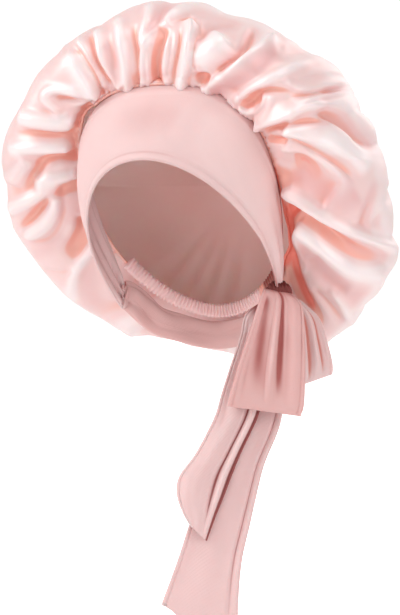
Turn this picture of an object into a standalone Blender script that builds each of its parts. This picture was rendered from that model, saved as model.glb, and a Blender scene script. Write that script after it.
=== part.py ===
"""Sleep bonnet: a puffed satin crown gathered on to a wide stretch headband, tied in a bow below the left ear.

The bonnet is modelled as worn. The face looks along -Y, the wearer's left is +X and +Z is up. The origin is
the middle of the hollow that the head fills. Lengths are in metres.
"""

import math

import bmesh
import bpy
import numpy as np
from mathutils import Vector

MM = 0.001

# Cloth, and the running gap between neighbouring pieces
SATIN_WALL = 1.6 * MM
JERSEY_WALL = 1.8 * MM
SEAM_GAP = 0.5 * MM
BAND_TUCK = 1.9 * MM
KNOT_GAP = 0.4 * MM

# The seam where the crown is gathered on to the band, as a loop seen from the front and from the side
SEAM_HALF_WIDTH = 90 * MM
SEAM_TOP = 87 * MM
SEAM_NAPE_DROP = 105 * MM
SEAM_FRONT = -47 * MM
SEAM_SIDE = -10 * MM
SEAM_BACK = 68 * MM
SEAM_SQUARENESS = 2.6
NAPE_SQUARENESS = 2.0

# The face edge of the headband: a slanting cut round an oval head
HEAD_HALF_WIDTH = 80 * MM
HEAD_HALF_LENGTH = 97 * MM
FACE_EDGE_PEAK = 22 * MM
FACE_EDGE_FALL = 92 * MM
FACE_EDGE_TURN_DEG = 4
FACE_EDGE_END_DEG = 104
SEWN_END_DEG = 122
BAND_BELLY = 6 * MM
BAND_PLEAT_DEPTH = 3.5 * MM
BAND_PLEATS = 3

# The crown, a puffed bag that stands out round the head
CROWN_HALF_WIDTH = 174 * MM
CROWN_TOP = 158 * MM
CROWN_DROP = 140 * MM
CROWN_DEPTH = 170 * MM
CROWN_FRONT = -60 * MM
CROWN_MID_HEIGHT = 6 * MM

# The nape: an elastic casing sewn to the crown, and the tie that runs under it
CASING_HEIGHT = 12 * MM
CASING_THICKNESS = 4.5 * MM
TIE_HEIGHT = 24 * MM
TIE_THICKNESS = 6.5 * MM
TIE_BELOW_CASING = 3 * MM
TIE_FROM_SEAM = 3 * MM
TIE_BEND = 18 * MM
TIE_RISE = 11 * MM
TIE_BEHIND_KNOT = 9 * MM
TIE_UNDER_KNOT = 3 * MM
TIE_END_INSET = 1 * MM
TIE_END_BACK = 3.6 * MM

# The knot, below and behind the wearer's left ear
KNOT_SIDE = 74 * MM
KNOT_BACK = 24 * MM
KNOT_DROP = 91 * MM
KNOT_RADII = (12 * MM, 11 * MM, 15 * MM)
KNOT_FORWARD = 4 * MM
KNOT_FOLDS = 5
KNOT_FOLD_DEPTH = 0.9 * MM
BOW_FACING_DEG = 25
REAR_LOOP_FACING_DEG = 55

# Rings of the crown from the seam to the middle of its back. Across, top and bottom are shares of
# CROWN_HALF_WIDTH, CROWN_TOP and CROWN_DROP; the last three are how far back the ring stands at its top, at its
# side and at its bottom, as shares of CROWN_DEPTH from CROWN_FRONT.
CROWN_RINGS = (
    # across, top, bottom, back_at_top, back_at_side, back_at_bottom, squareness
    (0.605, 0.645, 0.835, 0.020, 0.200, 0.800, 2.4),
    (0.745, 0.790, 0.905, 0.000, 0.150, 0.840, 2.3),
    (0.885, 0.910, 0.965, 0.080, 0.200, 0.880, 2.2),
    (0.970, 0.980, 1.000, 0.240, 0.340, 0.940, 2.2),
    (1.000, 1.000, 0.985, 0.420, 0.500, 1.020, 2.2),
    (0.930, 0.920, 0.860, 0.660, 0.700, 1.100, 2.1),
    (0.720, 0.720, 0.560, 0.880, 0.920, 1.130, 2.0),
    (0.380, 0.400, 0.230, 1.020, 1.040, 1.120, 2.0),
)
POLE_BACK = 1.07

# Lobes of the outline: where each stands round the rim, how far it spreads, and how much it adds to the reach
CROWN_LOBES = (
    # at_deg, spread_deg, reach_share
    (34, 46, -0.070),
    (78, 38, -0.060),
    (113, 20, 0.040),
    (142, 42, 0.070),
    (-38, 12, -0.050),
    (-86, 30, 0.025),
    (-122, 40, 0.050),
)

# Folds that run out from the seam. Height is a share of CROWN_FOLD, more than 0 for a ridge and less for a valley.
CROWN_FOLDS = (
    # near_deg, middle_deg, far_deg, start, end, half_width_deg, height
    (-31, -29, -32, 0.01, 0.54, 6, -1.2),
    (-19, -18, -18, 0.02, 0.48, 6, 0.8),
    (-9, -7, -6, 0.02, 0.38, 5, -0.7),
    (-1, 0, 2, 0.01, 0.36, 5, -0.9),
    (9, 11, 9, 0.02, 0.42, 6, 0.8),
    (15, 17, 14, 0.02, 0.36, 5, -0.8),
    (23, 33, 35, 0.01, 0.56, 6, 1.0),
    (31, 43, 46, 0.01, 0.48, 6, -0.9),
    (41, 52, 50, 0.01, 0.64, 7, 1.0),
    (55, 60, 60, 0.02, 0.48, 6, -0.8),
    (63, 67, 67, 0.02, 0.60, 6, 0.8),
    (68, 73, 83, 0.08, 0.60, 6, -0.8),
    (71, 81, 91, 0.10, 0.66, 7, 1.0),
    (84, 90, 97, 0.04, 0.50, 7, -1.1),
    (92, 102, 111, 0.03, 0.66, 6, 1.0),
    (99, 108, 116, 0.05, 0.60, 6, -1.2),
    (105, 115, 123, 0.06, 0.56, 6, 0.9),
    (120, 130, 138, 0.08, 0.50, 7, -0.6),
    (128, 140, 150, 0.10, 0.52, 7, 0.7),
    (160, 160, 160, 0.16, 0.52, 9, -0.6),
    (178, 178, 178, 0.16, 0.52, 9, 0.6),
    (-163, -163, -163, 0.16, 0.52, 9, -0.6),
    (-146, -147, -149, 0.14, 0.52, 9, 0.7),
    (-129, -133, -138, 0.10, 0.52, 7, -0.7),
    (-115, -121, -129, 0.06, 0.60, 7, 0.9),
    (-103, -111, -119, 0.04, 0.54, 7, -0.9),
    (-93, -99, -106, 0.03, 0.60, 7, 0.9),
    (-83, -86, -91, 0.02, 0.50, 6, -0.9),
    (-73, -76, -81, 0.01, 0.58, 6, 0.9),
    (-64, -70, -73, 0.01, 0.50, 6, -0.8),
    (-54, -61, -62, 0.01, 0.50, 6, 0.8),
    (-44, -49, -54, 0.02, 0.44, 6, -0.8),
    (-37, -38, -43, 0.05, 0.56, 6, 0.8),
)
CROWN_FOLD = 10 * MM
FOLD_RISE = 0.20
FOLD_FADE = 0.42
PUCKERS = 46
PUCKER_DEPTH = 1.2 * MM
PUCKER_REACH = 0.10

# How far each piece of the bow reaches across and down from the knot, and how far it stands out
UPPER_TAIL_SIZE = (85 * MM, 202 * MM, 35 * MM)
LOWER_TAIL_SIZE = (97 * MM, 313 * MM, 44 * MM)
FRONT_LOOP_SIZE = (43 * MM, 98 * MM, 32 * MM)
REAR_LOOP_SIZE = (47 * MM, 76 * MM, 16 * MM)

# The bow's cloth by its two long edges, from the knot out, as shares of the three sizes above. Left and right are
# measured across as the bow is faced, the drops down, and out towards the viewer.
UPPER_TAIL = (
    # left, left_drop, right, right_drop, left_out, right_out
    (-0.118, 0.010, 0.024, 0.015, 0.171, 0.229),
    (-0.318, 0.069, -0.071, 0.069, 0.200, 0.257),
    (-0.376, 0.163, -0.082, 0.163, 0.229, 0.286),
    (-0.482, 0.297, -0.129, 0.297, 0.286, 0.343),
    (-0.565, 0.406, -0.165, 0.406, 0.371, 0.429),
    (-0.635, 0.500, -0.212, 0.495, 0.457, 0.514),
    (-0.812, 0.644, -0.365, 0.629, 0.600, 0.657),
    (-0.976, 0.738, -0.459, 0.723, 0.714, 0.743),
    (-1.000, 0.812, -0.541, 0.812, 0.800, 0.829),
    (-0.941, 0.886, -0.635, 0.906, 0.886, 0.914),
    (-0.871, 0.936, -0.718, 1.000, 0.943, 1.000),
)
LOWER_TAIL = (
    # left, left_drop, right, right_drop, left_out, right_out
    (-0.062, 0.013, 0.072, 0.019, 0.000, 0.023),
    (-0.227, 0.105, 0.072, 0.105, 0.000, 0.023),
    (-0.309, 0.192, 0.062, 0.192, 0.045, 0.068),
    (-0.351, 0.262, 0.052, 0.262, 0.091, 0.136),
    (-0.412, 0.323, 0.021, 0.323, 0.159, 0.205),
    (-0.485, 0.367, -0.021, 0.367, 0.227, 0.273),
    (-0.598, 0.454, -0.134, 0.450, 0.341, 0.364),
    (-0.701, 0.550, -0.216, 0.550, 0.455, 0.477),
    (-0.773, 0.607, -0.258, 0.607, 0.523, 0.545),
    (-0.876, 0.703, -0.330, 0.706, 0.659, 0.659),
    (-1.000, 0.805, -0.361, 0.831, 0.795, 0.818),
    (-1.000, 0.808, -0.361, 1.000, 0.795, 1.000),
)
FRONT_LOOP = (
    # left, left_drop, right, right_drop, left_out, right_out
    (-0.186, 0.000, 0.186, 0.020, 0.156, 0.156),
    (-0.279, -0.071, 0.233, -0.031, 0.375, 0.375),
    (-0.326, -0.041, 0.419, 0.051, 0.656, 0.625),
    (-0.442, 0.102, 0.465, 0.163, 0.812, 0.750),
    (-0.628, 0.347, 0.488, 0.388, 0.875, 0.781),
    (-0.814, 0.592, 0.488, 0.633, 0.938, 0.844),
    (-0.953, 0.816, 0.465, 0.898, 1.000, 0.906),
    (-1.000, 0.898, 0.419, 0.980, 0.969, 0.875),
    (-1.000, 0.908, 0.419, 1.000, 0.844, 0.750),
    (-0.977, 0.878, 0.419, 0.969, 0.719, 0.625),
    (-0.884, 0.776, 0.442, 0.837, 0.656, 0.562),
    (-0.744, 0.571, 0.442, 0.612, 0.594, 0.500),
    (-0.581, 0.327, 0.395, 0.367, 0.500, 0.438),
    (-0.326, 0.143, 0.279, 0.153, 0.406, 0.375),
    (-0.140, 0.061, 0.186, 0.061, 0.312, 0.312),
)
REAR_LOOP = (
    # left, left_drop, right, right_drop, left_out, right_out
    (-0.085, 0.000, 0.213, 0.026, 0.125, 0.125),
    (0.043, -0.026, 0.340, 0.026, 0.375, 0.375),
    (0.128, 0.053, 0.511, 0.118, 0.625, 0.562),
    (0.170, 0.263, 0.723, 0.250, 0.812, 0.688),
    (0.170, 0.553, 0.851, 0.474, 0.938, 0.750),
    (0.149, 0.816, 0.957, 0.711, 1.000, 0.812),
    (0.128, 0.974, 1.000, 0.842, 0.875, 0.688),
    (0.128, 1.000, 1.000, 0.868, 0.625, 0.500),
    (0.128, 0.947, 0.979, 0.816, 0.375, 0.250),
    (0.170, 0.737, 0.894, 0.658, 0.250, 0.125),
    (0.191, 0.500, 0.766, 0.447, 0.125, 0.000),
    (0.191, 0.263, 0.553, 0.237, 0.062, -0.062),
    (0.085, 0.105, 0.298, 0.105, 0.000, 0.000),
)

# Folds along the bow's cloth: where across it and how wide, how deep as a share of BOW_FOLD, and where it starts
# and ends along it
BOW_FOLD = 5 * MM
UPPER_TAIL_FOLDS = (
    # across, half_width, depth, start, end
    (0.72, 0.14, -0.6, 0.05, 0.95),
    (0.30, 0.20, 0.5, 0.20, 1.00),
)
LOWER_TAIL_FOLDS = (
    # across, half_width, depth, start, end
    (0.45, 0.22, 0.4, 0.25, 1.00),
    (0.20, 0.14, -0.4, 0.05, 0.50),
)
FRONT_LOOP_FOLDS = (
    # across, half_width, depth, start, end
    (0.52, 0.13, -1.2, 0.10, 0.46),
    (0.26, 0.14, -0.6, 0.12, 0.46),
    (0.80, 0.14, 0.4, 0.12, 0.42),
)
REAR_LOOP_FOLDS = (
    # across, half_width, depth, start, end
    (0.40, 0.16, -0.8, 0.12, 0.46),
    (0.72, 0.14, -0.6, 0.12, 0.46),
)

# Mesh fineness
CROWN_AROUND = 90
CROWN_OUT = 13
CROWN_CROWDING = 1.2
BAND_ALONG = 48
BAND_UP = 6
STRIP_ACROSS = 8
TAIL_ALONG = 18
LOOP_ALONG = 26


def power_wave(value, squareness):
    """A sine or cosine pulled outwards, as in a superellipse."""
    return math.copysign(abs(value) ** (2 / squareness), value)


def smooth_rows(rows, share):
    """The row at a share of the way down a table, on a smooth curve through all of its rows."""
    rows = np.asarray(rows, float)
    place = min(max(share, 0.0), 1.0) * (len(rows) - 1)
    i = min(int(place), len(rows) - 2)
    t = place - i
    before, start, end, after = (rows[min(max(k, 0), len(rows) - 1)] for k in (i - 1, i, i + 1, i + 2))
    return start + 0.5 * t * (
        end - before + t * (2 * before - 5 * start + 4 * end - after + t * (3 * (start - end) + after - before))
    )


def window(distance, half_width):
    """A smooth bump, 1 at no distance and 0 past the half width."""
    near = min(abs(distance) / half_width, 1.0)
    return (1 - near * near) ** 2


def ease(share):
    """A smooth step from 0 to 1."""
    share = min(max(share, 0.0), 1.0)
    return share * share * (3 - 2 * share)


def turn_between(a_deg, b_deg):
    """The signed angle from b to a, in degrees, by the short way round."""
    return (a_deg - b_deg + 180) % 360 - 180


def ring_point(angle, half_width, top, drop, front, side, back, squareness, low_squareness):
    """A point of an upright loop. At angle 0 it is at the top, and at 90 degrees on the wearer's left."""
    up = math.cos(angle)
    n = squareness if up > 0 else low_squareness + (squareness - low_squareness) * (1 + up)
    x = half_width * power_wave(math.sin(angle), n)
    w = power_wave(up, n)
    z = CROWN_MID_HEIGHT + w * ((top - CROWN_MID_HEIGHT) if up > 0 else (drop + CROWN_MID_HEIGHT))
    y = side + (back - front) / 2 * -w + ((front + back) / 2 - side) * w * w
    return Vector((x, y, z))


def seam_point(angle):
    """The seam between crown and band, all round the opening."""
    across = SEAM_HALF_WIDTH, SEAM_TOP, SEAM_NAPE_DROP
    return ring_point(angle, *across, SEAM_FRONT, SEAM_SIDE, SEAM_BACK, SEAM_SQUARENESS, NAPE_SQUARENESS)


def face_edge_point(angle):
    """The band's lower edge, round the face."""
    slant = FACE_EDGE_FALL * (1 - math.cos(angle - math.radians(FACE_EDGE_TURN_DEG)))
    x = HEAD_HALF_WIDTH * math.sin(angle)
    return Vector((x, -HEAD_HALF_LENGTH * math.cos(angle), FACE_EDGE_PEAK - slant))


def knot_centre(side=1):
    """The middle of the knot, or of the matching gather on the wearer's right."""
    return Vector((side * KNOT_SIDE, KNOT_BACK, -KNOT_DROP))


def crown_ring(share, angle):
    """A smooth ring of the crown, without folds, at a share of the way from seam to pole."""
    first = seam_point(angle)
    rows = []
    for across, top, bottom, back_top, back_side, back_bottom, squareness in CROWN_RINGS:
        rows.append(
            ring_point(
                angle,
                across * CROWN_HALF_WIDTH,
                top * CROWN_TOP,
                bottom * CROWN_DROP,
                CROWN_FRONT + back_top * CROWN_DEPTH,
                CROWN_FRONT + back_side * CROWN_DEPTH,
                CROWN_FRONT + back_bottom * CROWN_DEPTH,
                squareness,
                squareness,
            )
        )
    pole = Vector((0, CROWN_FRONT + POLE_BACK * CROWN_DEPTH, CROWN_MID_HEIGHT))
    return Vector(smooth_rows([first, *rows, pole], share))


def crown_push(share, angle):
    """How far the folds push the crown's wall out, and how much wider the lobes make it."""
    degrees = math.degrees(angle)
    push = 0.0
    for near, middle, far, start, end, half_width, height in CROWN_FOLDS:
        t = (share - start) / (end - start)
        if 0 < t < 1:
            centre = near + t * (4 * middle - 3 * near - far) + t * t * (2 * near + 2 * far - 4 * middle)
            along = ease(t / FOLD_RISE) * ease((1 - t) / FOLD_FADE)
            push += height * CROWN_FOLD * along * window(turn_between(degrees, centre), 1.3 * half_width)
    pucker = math.cos(PUCKERS * angle) * max(0, 1 - share / PUCKER_REACH) * min(share / 0.02, 1)
    push += PUCKER_DEPTH * pucker
    reach = sum(size * window(turn_between(degrees, at), spread) for at, spread, size in CROWN_LOBES)
    return push, reach * math.sin(math.pi * min(share / 0.95, 1)) ** 1.5


def crown_grid():
    """Rows of points from the seam out, round the rim and in to the back."""
    grid = []
    for j in range(CROWN_OUT + 1):
        share = (j / (CROWN_OUT + 1)) ** CROWN_CROWDING
        row = []
        for i in range(CROWN_AROUND):
            angle = 2 * math.pi * i / CROWN_AROUND
            here = crown_ring(share, angle)
            if j:
                step = 0.01
                around = crown_ring(share, angle + step) - crown_ring(share, angle - step)
                outwards = crown_ring(share + step, angle) - crown_ring(share - step, angle)
                normal = outwards.cross(around).normalized()
                push, reach = crown_push(share, angle)
                here += normal * push
                here.x *= 1 + reach
                here.z += (here.z - CROWN_MID_HEIGHT) * reach
            row.append(here)
        grid.append(row)
    return grid


def cloth(name, grid, wall, around=False, tip=None):
    """A wall of cloth through a grid of points, as thick as it is told, with its thickness inside the grid."""
    mesh = bpy.data.meshes.new(name)
    across = len(grid[0])
    points = [point for row in grid for point in row]
    faces = []
    for j in range(len(grid) - 1):
        for i in range(across if around else across - 1):
            k = (i + 1) % across
            faces.append((j * across + i, j * across + k, (j + 1) * across + k, (j + 1) * across + i))
    if tip is not None:
        points.append(tip)
        last = (len(grid) - 1) * across
        faces += [(last + i, last + (i + 1) % across, len(points) - 1) for i in range(across)]
    mesh.from_pydata(points, [], faces)
    mesh.update()
    return place(name, mesh, wall)


def place(name, mesh, wall=None):
    """Links a mesh as an object of that name, shaded smooth, with a wall if it is given one."""
    body = bpy.data.objects.new(name, mesh)
    bpy.context.scene.collection.objects.link(body)
    mesh.shade_smooth()
    if wall:
        solidify = body.modifiers.new("wall", "SOLIDIFY")
        solidify.thickness = wall
        solidify.offset = 0
    return body


def finish(body, name, colour, roughness):
    """Gives a body its own plain material."""
    material = bpy.data.materials.new(name)
    material.use_nodes = True
    shader = material.node_tree.nodes["Principled BSDF"]
    shader.inputs["Base Color"].default_value = (*colour, 1)
    shader.inputs["Roughness"].default_value = roughness
    body.data.materials.append(material)


def crown():
    """The satin crown, one gathered wall."""
    tip = Vector((0, CROWN_FRONT + POLE_BACK * CROWN_DEPTH, CROWN_MID_HEIGHT))
    body = cloth("crown", crown_grid(), SATIN_WALL, around=True, tip=tip)
    finish(body, "satin", (0.94, 0.72, 0.70), 0.3)


def headband():
    """The stretch band from the gather behind one ear, over the forehead, to the knot."""
    grid = []
    for i in range(BAND_ALONG + 1):
        along = 2 * i / BAND_ALONG - 1
        low = face_edge_point(math.radians(FACE_EDGE_END_DEG) * along)
        high = seam_point(math.radians(SEWN_END_DEG) * along)
        gathered = max(0, (abs(along) - 0.72) / 0.28) ** 1.6
        side = math.copysign(1, along)
        low_end = knot_centre(side) + Vector((0, 0, -TIE_HEIGHT / 2))
        high_end = knot_centre(side) + Vector((0, 0, TIE_HEIGHT / 2))
        low = low.lerp(low_end, gathered)
        high = high.lerp(high_end, gathered)
        inwards = Vector((-high.x, -high.y, 0)).normalized()
        high += (low - high).normalized() * BAND_TUCK + inwards * BAND_TUCK
        grid.append([low.lerp(high, k / BAND_UP) for k in range(BAND_UP + 1)])
    for i, row in enumerate(grid):
        along = 2 * i / BAND_ALONG - 1
        before, after = grid[max(i - 1, 0)][3], grid[min(i + 1, BAND_ALONG)][3]
        outwards = (after - before).cross(row[-1] - row[0]).normalized()
        gathered = max(0, (abs(along) - 0.66) / 0.34)
        for k in range(1, BAND_UP):
            up = k / BAND_UP
            belly = BAND_BELLY * 4 * up * (1 - up) * (1 - gathered)
            pleat = BAND_PLEAT_DEPTH * gathered * math.cos(BAND_PLEATS * 2 * math.pi * up)
            row[k] = row[k] + outwards * (belly + pleat)
    body = cloth("headband", grid, JERSEY_WALL)
    finish(body, "jersey", (0.90, 0.68, 0.67), 0.7)
    return body


def swept(name, path, section):
    """A solid with its section, given for each share of the path, swept along the path and capped."""
    mesh = bpy.data.meshes.new(name)
    build = bmesh.new()
    rings = []
    for i, here in enumerate(path):
        ahead = (path[min(i + 1, len(path) - 1)] - path[max(i - 1, 0)]).normalized()
        side = ahead.cross(Vector((0, 0, 1))).normalized()
        up = side.cross(ahead)
        ring = [here + side * a + up * b for a, b in section(i / (len(path) - 1))]
        rings.append([build.verts.new(point) for point in ring])
    around = len(rings[0])
    for first, second in zip(rings, rings[1:]):
        for k in range(around):
            m = (k + 1) % around
            build.faces.new((first[k], first[m], second[m], second[k]))
    build.faces.new(rings[0])
    build.faces.new(rings[-1])
    bmesh.ops.recalc_face_normals(build, faces=build.faces)
    build.to_mesh(mesh)
    build.free()
    return place(name, mesh)


def nape_casing():
    """The elastic casing that carries the crown from ear to ear round the nape."""
    start, end = math.radians(SEWN_END_DEG + 3), math.radians(360 - SEWN_END_DEG - 3)
    steps = 26
    clear = CASING_THICKNESS / 2 + SATIN_WALL / 2 + SEAM_GAP
    path = []
    for i in range(steps + 1):
        here = seam_point(start + (end - start) * i / steps)
        inwards = Vector((-here.x, -here.y, 0)).normalized()
        path.append(here + inwards * clear)

    def section(_share):
        turns = [2 * math.pi * k / 8 for k in range(8)]
        return [(CASING_THICKNESS / 2 * math.cos(t), CASING_HEIGHT / 2 * math.sin(t)) for t in turns]

    finish(swept("nape_casing", path, section), "casing", (0.92, 0.70, 0.68), 0.4)


def nape_tie():
    """The band's other end, gathered, from the wearer's right round the nape to the knot."""
    low = -SEAM_NAPE_DROP - CASING_HEIGHT / 2 - TIE_BELOW_CASING - TIE_HEIGHT / 2
    back = SEAM_BACK - TIE_FROM_SEAM
    right, left = knot_centre(-1), knot_centre(1)
    behind_knot, under_knot = KNOT_BACK + TIE_BEHIND_KNOT, -KNOT_DROP - TIE_UNDER_KNOT
    rows = [
        right + Vector((TIE_END_INSET, TIE_END_BACK, 0)),
        Vector((-0.93 * KNOT_SIDE, behind_knot, under_knot)),
        Vector((-0.64 * KNOT_SIDE, back - TIE_BEND, low + TIE_RISE)),
        Vector((0, back, low)),
        Vector((0.64 * KNOT_SIDE, back - TIE_BEND, low + TIE_RISE)),
        Vector((0.95 * KNOT_SIDE, behind_knot, under_knot)),
        left,
    ]
    path = [Vector(smooth_rows(rows, i / 24)) for i in range(25)]

    def section(share):
        fold = math.sin(math.pi * share)
        points = []
        for k in range(12):
            turn = 2 * math.pi * k / 12
            groove = 1 + 0.35 * math.cos(3 * turn) * fold
            points.append((TIE_THICKNESS / 2 * math.cos(turn) * groove, TIE_HEIGHT / 2 * math.sin(turn)))
        return points

    body = swept("nape_tie", path, section)
    finish(body, "jersey_tie", (0.88, 0.65, 0.64), 0.7)
    return body


def knot_body(name, grow=0.0):
    """The wrapped knot: a plump oval with its cloth's folds running round it, or its cutter."""
    mesh = bpy.data.meshes.new(name)
    build = bmesh.new()
    bmesh.ops.create_uvsphere(build, u_segments=24, v_segments=12, radius=1)
    across, out, up = (radius + grow for radius in KNOT_RADII)
    for vertex in build.verts:
        x, y, z = vertex.co
        fold = KNOT_FOLD_DEPTH * math.cos(KNOT_FOLDS * math.pi * x) * (1 - z * z)
        vertex.co = (x * across, y * (out + fold), z * (up + fold))
    build.to_mesh(mesh)
    build.free()
    body = place(name, mesh)
    body.location = knot_centre() + facing_axes(BOW_FACING_DEG)[1] * KNOT_FORWARD
    body.rotation_euler = (0, 0, math.radians(BOW_FACING_DEG))
    return body


def facing_axes(facing_deg):
    """The directions across and out of a piece of the bow that faces that way."""
    turn = math.radians(facing_deg)
    return Vector((math.cos(turn), math.sin(turn), 0)), Vector((math.sin(turn), -math.cos(turn), 0))


def ribbon(name, edges, size, folds, along_steps, facing_deg):
    """A length of the bow's cloth between two edges, with its long folds."""
    across, out = facing_axes(facing_deg)
    reach, length, standoff = size
    grid = []
    for j in range(along_steps + 1):
        share = j / along_steps
        left, left_drop, right, right_drop, left_out, right_out = smooth_rows(edges, share)
        row = []
        for i in range(STRIP_ACROSS + 1):
            v = i / STRIP_ACROSS
            fold = BOW_FOLD * sum(
                depth * window(v - at, 1.4 * half) * window(share - (start + end) / 2, (end - start) / 2)
                for at, half, depth, start, end in folds
            )
            sideways = reach * (left + (right - left) * v)
            drop = length * (left_drop + (right_drop - left_drop) * v)
            outwards = standoff * (left_out + (right_out - left_out) * v) + fold
            row.append(knot_centre() + across * sideways + out * outwards - Vector((0, 0, drop)))
        grid.append(row)
    return cloth(name, grid, JERSEY_WALL)


def cut_clear(body, cutter):
    """Cuts a piece back from the knot, which leaves their running gap."""
    cut = body.modifiers.new("knot", "BOOLEAN")
    cut.operation = "DIFFERENCE"
    cut.object = cutter
    cut.solver = "EXACT"


def bow(pieces_at_knot):
    """The knot, its two loops and its two tails."""
    finish(knot_body("knot"), "jersey_knot", (0.88, 0.65, 0.64), 0.7)
    cutter = knot_body("knot_cutter", KNOT_GAP)
    cutter.hide_render = True
    cutter.display_type = "WIRE"
    ribbons = (
        ("upper_tail", UPPER_TAIL, UPPER_TAIL_SIZE, UPPER_TAIL_FOLDS, TAIL_ALONG, BOW_FACING_DEG),
        ("lower_tail", LOWER_TAIL, LOWER_TAIL_SIZE, LOWER_TAIL_FOLDS, TAIL_ALONG, BOW_FACING_DEG),
        ("front_loop", FRONT_LOOP, FRONT_LOOP_SIZE, FRONT_LOOP_FOLDS, LOOP_ALONG, BOW_FACING_DEG),
        ("rear_loop", REAR_LOOP, REAR_LOOP_SIZE, REAR_LOOP_FOLDS, LOOP_ALONG, REAR_LOOP_FACING_DEG),
    )
    for name, edges, size, folds, steps, facing in ribbons:
        body = ribbon(name, edges, size, folds, steps, facing)
        finish(body, f"jersey_{name}", (0.90, 0.68, 0.67), 0.7)
        pieces_at_knot.append(body)
    for body in pieces_at_knot:
        cut_clear(body, cutter)


def main():
    """Clears the scene and builds the bonnet."""
    for body in list(bpy.data.objects):
        bpy.data.objects.remove(body)
    crown()
    nape_casing()
    bow([headband(), nape_tie()])


main()
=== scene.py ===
"""Looks for the sleep bonnet: a puffed satin crown, a stretch headband, and a bow with two loops and two tails.

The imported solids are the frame. Every cloth piece here stands for one of them: it follows the same sizes and
tables and carries the folds, gathers, hems and knit that the solids leave out. The face looks along -Y, the
wearer's left is +X and +Z is up, in metres.
"""

import logging
import math
from dataclasses import dataclass
from enum import Enum
from typing import Optional, Sequence

import bpy
import numpy as np
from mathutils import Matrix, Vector


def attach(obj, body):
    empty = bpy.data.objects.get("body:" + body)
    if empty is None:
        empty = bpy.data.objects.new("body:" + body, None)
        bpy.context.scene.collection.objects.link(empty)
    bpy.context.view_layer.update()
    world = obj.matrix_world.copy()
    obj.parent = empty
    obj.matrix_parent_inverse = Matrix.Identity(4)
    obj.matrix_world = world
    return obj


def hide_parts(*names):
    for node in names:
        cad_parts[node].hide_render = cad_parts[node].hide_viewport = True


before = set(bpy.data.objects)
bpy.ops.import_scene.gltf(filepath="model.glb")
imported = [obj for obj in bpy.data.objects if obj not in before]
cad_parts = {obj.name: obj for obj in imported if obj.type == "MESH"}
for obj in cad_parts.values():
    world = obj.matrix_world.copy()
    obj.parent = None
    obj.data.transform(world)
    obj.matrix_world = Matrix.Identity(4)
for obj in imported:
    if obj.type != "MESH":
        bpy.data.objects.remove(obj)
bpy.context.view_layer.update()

MM = 0.001
LOG = logging.getLogger("sleep_bonnet")
Rows = Sequence[Sequence[float]]
Colour = tuple[float, float, float]


# Sizes that several pieces share

MID_HEIGHT = 6 * MM
SEWN_END_DEG = 122
KNOT_SIDE = 74 * MM
KNOT_BACK = 24 * MM
KNOT_DROP = 91 * MM
TIE_HEIGHT = 24 * MM
CASING_HEIGHT = 12 * MM
BOW_FACING_DEG = 25


def power_wave(value: np.ndarray, squareness: np.ndarray) -> np.ndarray:
    """A sine or cosine pulled outwards, as in a superellipse."""
    return np.sign(value) * np.abs(value) ** (2 / squareness)


def ease(share: np.ndarray) -> np.ndarray:
    """A smooth step from 0 to 1."""
    share = np.clip(share, 0, 1)
    return share * share * (3 - 2 * share)


def window(distance: np.ndarray, half_width: float) -> np.ndarray:
    """A smooth bump, 1 at no distance and 0 past the half width."""
    near = np.clip(np.abs(distance) / half_width, 0, 1)
    return (1 - near * near) ** 2


def turn_between(a_deg: np.ndarray, b_deg: np.ndarray) -> np.ndarray:
    """The signed angle from b to a, in degrees, by the short way round."""
    return (a_deg - b_deg + 180) % 360 - 180


def smooth_rows(rows: np.ndarray, share: np.ndarray) -> np.ndarray:
    """Reads a table on a smooth curve through all of its rows.

    Args:
        rows: The table, with its rows along the first axis.
        share: Where to read, from 0 at the first row to 1 at the last.

    Returns:
        One reading for each share, along the first axis.
    """
    rows = np.asarray(rows, float)
    place = np.clip(share, 0, 1) * (len(rows) - 1)
    i = np.minimum(place.astype(int), len(rows) - 2)
    t = (place - i).reshape((-1,) + (1,) * (rows.ndim - 1))
    last = len(rows) - 1
    before, start = rows[np.clip(i - 1, 0, last)], rows[i]
    end, after = rows[i + 1], rows[np.clip(i + 2, 0, last)]
    return start + 0.5 * t * (
        end - before + t * (2 * before - 5 * start + 4 * end - after + t * (3 * (start - end) + after - before))
    )


def unit(vectors: np.ndarray) -> np.ndarray:
    """The same directions with length 1."""
    return vectors / np.maximum(np.linalg.norm(vectors, axis=-1, keepdims=True), 1e-12)


def beside(line: np.ndarray, places: np.ndarray) -> tuple[np.ndarray, np.ndarray]:
    """Where places lie beside a line on a flat view.

    Args:
        line: Points of the line, across and down.
        places: The places.

    Returns:
        How far off the line each place is, more than 0 on its right-hand side, and how far along, from 0 to 1.
    """
    step = np.diff(line, axis=0)
    size = (step * step).sum(-1)
    away = places[:, None] - line[None, :-1]
    t = np.clip((away * step).sum(-1) / size, 0, 1)
    gap = away - t[..., None] * step
    far = np.hypot(gap[..., 0], gap[..., 1])
    best = far.argmin(1)
    rows = np.arange(len(places))
    side = step[best, 0] * away[rows, best, 1] - step[best, 1] * away[rows, best, 0]
    return np.where(side > 0, 1, -1) * far[rows, best], (best + t[rows, best]) / len(step)


def soften(field: np.ndarray) -> np.ndarray:
    """A field on a grid that closes round, averaged once with its neighbours."""
    field = 0.5 * field + 0.25 * (np.roll(field, 1, 1) + np.roll(field, -1, 1))
    return 0.5 * field + 0.25 * (np.concatenate([field[:1], field[:-1]]) + np.concatenate([field[1:], field[-1:]]))


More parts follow.
